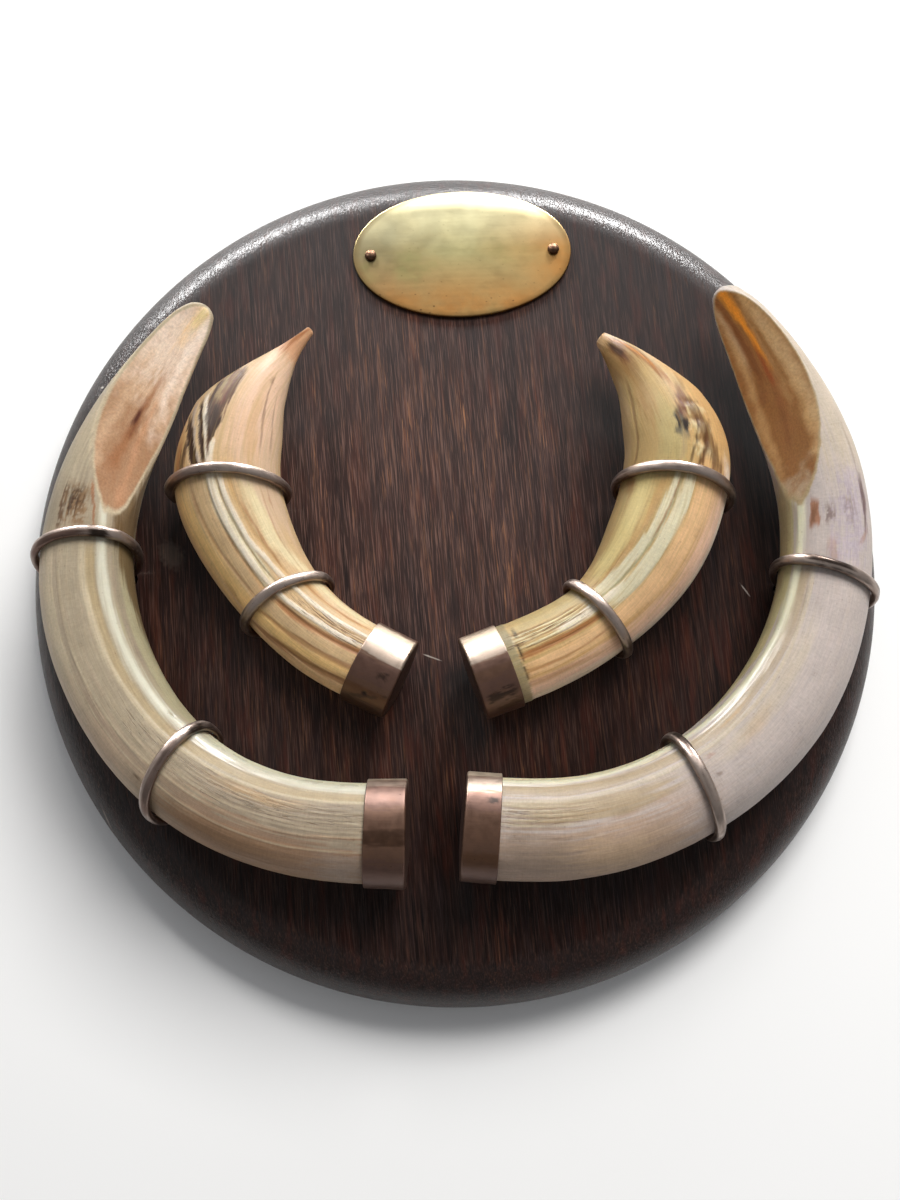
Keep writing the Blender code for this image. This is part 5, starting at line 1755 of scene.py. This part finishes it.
# %% [markdown]
# ## Varnished wood
#
# The board is almost black-brown under a satin varnish. Its grain runs up the plaque and leans
# a few degrees to the left. What the eye sees is the open pores: short strokes, tan or rusty,
# crowded in some bands and missing in others. The varnish sinks into them, so each pore also
# breaks up the reflection. The texture is worked out in space and not on the surface, so the
# same fibres run over the shoulder and down the side. The varnish is a little rougher on the
# shoulder, and a few small knocks and scratches show on the face and the shoulder.

# %% Wood colours and marks
GRAIN_LEAN = math.radians(5.0)
PALEST_AT = (-18.0, 22.0, BOARD_TOP)  # the palest place of the face
PALEST_NEAR, PALEST_FAR = 25.0, 106.0  # the wood is palest within the first distance, and no paler past the second
SHOULDER_FROM, SHOULDER_FULL = 122.0, 132.0  # distances from the middle where the varnish gets rougher
WOOD = paint_chart(
    deep=(5, 2, 2),
    fibre=(42, 24, 19),
    faded=(76, 47, 40),
    red_band=(66, 28, 18),
    cool_band=(34, 26, 30),
    tan_pore=(146, 108, 80),
    rusty_pore=(140, 78, 48),
    short_pore=(172, 118, 80),
    thin_pore=(132, 98, 86),
)
MARK_DEPTH = 6.0  # how far a small mark reaches up and down
# Small marks on the wood: place, reach along x and y, turn in degrees, paint and strength
WOOD_MARKS = (
    ((-112.0, -83.5, 18.0), (0.5, 6.5), 20.0, (10, 6, 5), 0.95),
    ((-110.4, -84.4, 18.5), (0.35, 5.0), 22.0, (122, 104, 92), 0.6),
    ((-92.2, 0.8, 26.0), (4.0, 5.5), 30.0, (104, 92, 82), 0.35),
    ((-7.3, -33.1, 26.0), (3.4, 0.25), -20.0, (186, 176, 166), 0.6),
    ((93.8, -10.9, 26.0), (0.25, 2.6), 35.0, (176, 166, 158), 0.5),
    ((-118.7, 59.7, 24.0), (0.7, 0.5), 0.0, (214, 206, 196), 0.8),
)
print("small marks on the wood:", len(WOOD_MARKS))


# %% Streaks and marks
def turned_about_z(tree, place, angle):
    inputs = {"Vector": place, "Angle": angle}
    return add_node(tree, "ShaderNodeVectorRotate", inputs, rotation_type="Z_AXIS").outputs[0]


def wood_streaks(tree, place, length, width, low, high):
    """Short strokes along the grain: the top part of a stretched noise."""
    lines = effect(tree, "grain_lines", place, Length=length, Width=width, Bend=0.25)
    return spread(tree, lines, low, high)


def add_wood_marks(tree, colour, here, ragged):
    """Lays the small marks over the wood, each an oval with a ragged edge."""
    for middle, reach, turn, mark_paint, strength in WOOD_MARKS:
        offset = turned_about_z(tree, vector_maths(tree, "SUBTRACT", here, middle), -math.radians(turn))
        share = vector_maths(tree, "DIVIDE", offset, (*reach, MARK_DEPTH))
        outside = maths(tree, "MULTIPLY_ADD", ragged, 0.5, vector_maths(tree, "LENGTH", share))
        colour = blend(tree, spread(tree, outside, 1.35, 0.8, 0.0, strength), colour, paint(*mark_paint))
    return colour


# %% Wood finish
def wood_finish():
    material, tree, shader = new_finish(
        "wood", IOR=1.5, Coat_Roughness=0.17, Coat_IOR=1.5, Specular_IOR_Level=0.15
    )
    here = place_in_mm(tree)
    grain = turned_about_z(tree, here, -math.pi / 2 - GRAIN_LEAN)
    bands = effect(tree, "grain_lines", grain, Length=80.0, Width=6.5, Bend=0.6)
    fibres = effect(tree, "grain_lines", grain, Length=30.0, Width=0.8, Bend=0.2)
    tints = effect(tree, "grain_lines", grain, Length=22.0, Width=3.5)
    clouds = effect(tree, "clouds", here, Size=30.0)
    fine_clouds = effect(tree, "clouds", here, Size=1.6)
    long_streaks = wood_streaks(tree, grain, 20.0, 0.8, 0.6, 0.95)
    short_streaks = wood_streaks(tree, grain, 11.0, 0.55, 0.66, 0.95)
    thin_streaks = wood_streaks(tree, grain, 12.0, 0.36, 0.5, 0.9)

    # How pale the wood is near its palest place, and how crowded its pores are
    faded = spread(tree, vector_maths(tree, "DISTANCE", here, PALEST_AT), PALEST_FAR, PALEST_NEAR)
    patches = spread(tree, clouds, 0.1, 0.8, 0.35, 1.0)
    crowd = times(tree, spread(tree, bands, 0.32, 0.72, 0.08, 1.0), patches)
    crowd = times(tree, crowd, between(tree, faded, 0.2, 1.0))

    # The wood between the pores
    colour = blend(tree, fibres, WOOD["deep"], WOOD["fibre"])
    paler = times(tree, faded, spread(tree, bands, 0.2, 0.9, 0.08, 0.52))
    colour = blend(tree, paler, colour, WOOD["faded"])
    colour = blend(tree, spread(tree, tints, 0.55, 0.9, 0.0, 0.45), colour, WOOD["red_band"])
    colour = blend(tree, spread(tree, tints, 0.4, 0.1, 0.0, 0.3), colour, WOOD["cool_band"])

    # The pores, and then the marks
    pore = blend(tree, tints, WOOD["tan_pore"], WOOD["rusty_pore"])
    colour = blend(tree, times(tree, times(tree, long_streaks, crowd), 0.7), colour, pore)
    colour = blend(tree, times(tree, times(tree, short_streaks, crowd), 0.75), colour, WOOD["short_pore"])
    thin = times(tree, thin_streaks, between(tree, faded, 0.12, 0.55))
    colour = blend(tree, thin, colour, WOOD["thin_pore"])
    join(tree, add_wood_marks(tree, colour, here, fine_clouds), shader, "Base Color")

    # The varnish: thin over the pores, and uneven on the shoulder
    join(tree, between(tree, fibres, 0.5, 0.65), shader, "Roughness")
    pores = maths(tree, "MAXIMUM", short_streaks, times(tree, long_streaks, 0.6))
    join(tree, between(tree, pores, 0.42, 0.08), shader, "Coat Weight")
    height = maths(tree, "MULTIPLY_ADD", pores, -0.07, times(tree, fibres, 0.03))
    height = maths(tree, "ADD", height, times(tree, thin_streaks, -0.03))
    radius = vector_maths(tree, "LENGTH", vector_maths(tree, "MULTIPLY", here, (1.0, 1.0, 0.0)))
    shoulder = spread(tree, radius, SHOULDER_FROM, SHOULDER_FULL)
    height = times(tree, height, between(tree, shoulder, 1.0, 1.9))
    height = maths(tree, "MULTIPLY_ADD", times(tree, fine_clouds, shoulder), 0.07, height)
    join(tree, add_bump(tree, shader, height, 0.7), shader, "Coat Normal")
    return material


finishes["wood"] = wood_finish()
board.data.materials.clear()
board.data.materials.append(finishes["wood"])
print("finishes:", list(finishes))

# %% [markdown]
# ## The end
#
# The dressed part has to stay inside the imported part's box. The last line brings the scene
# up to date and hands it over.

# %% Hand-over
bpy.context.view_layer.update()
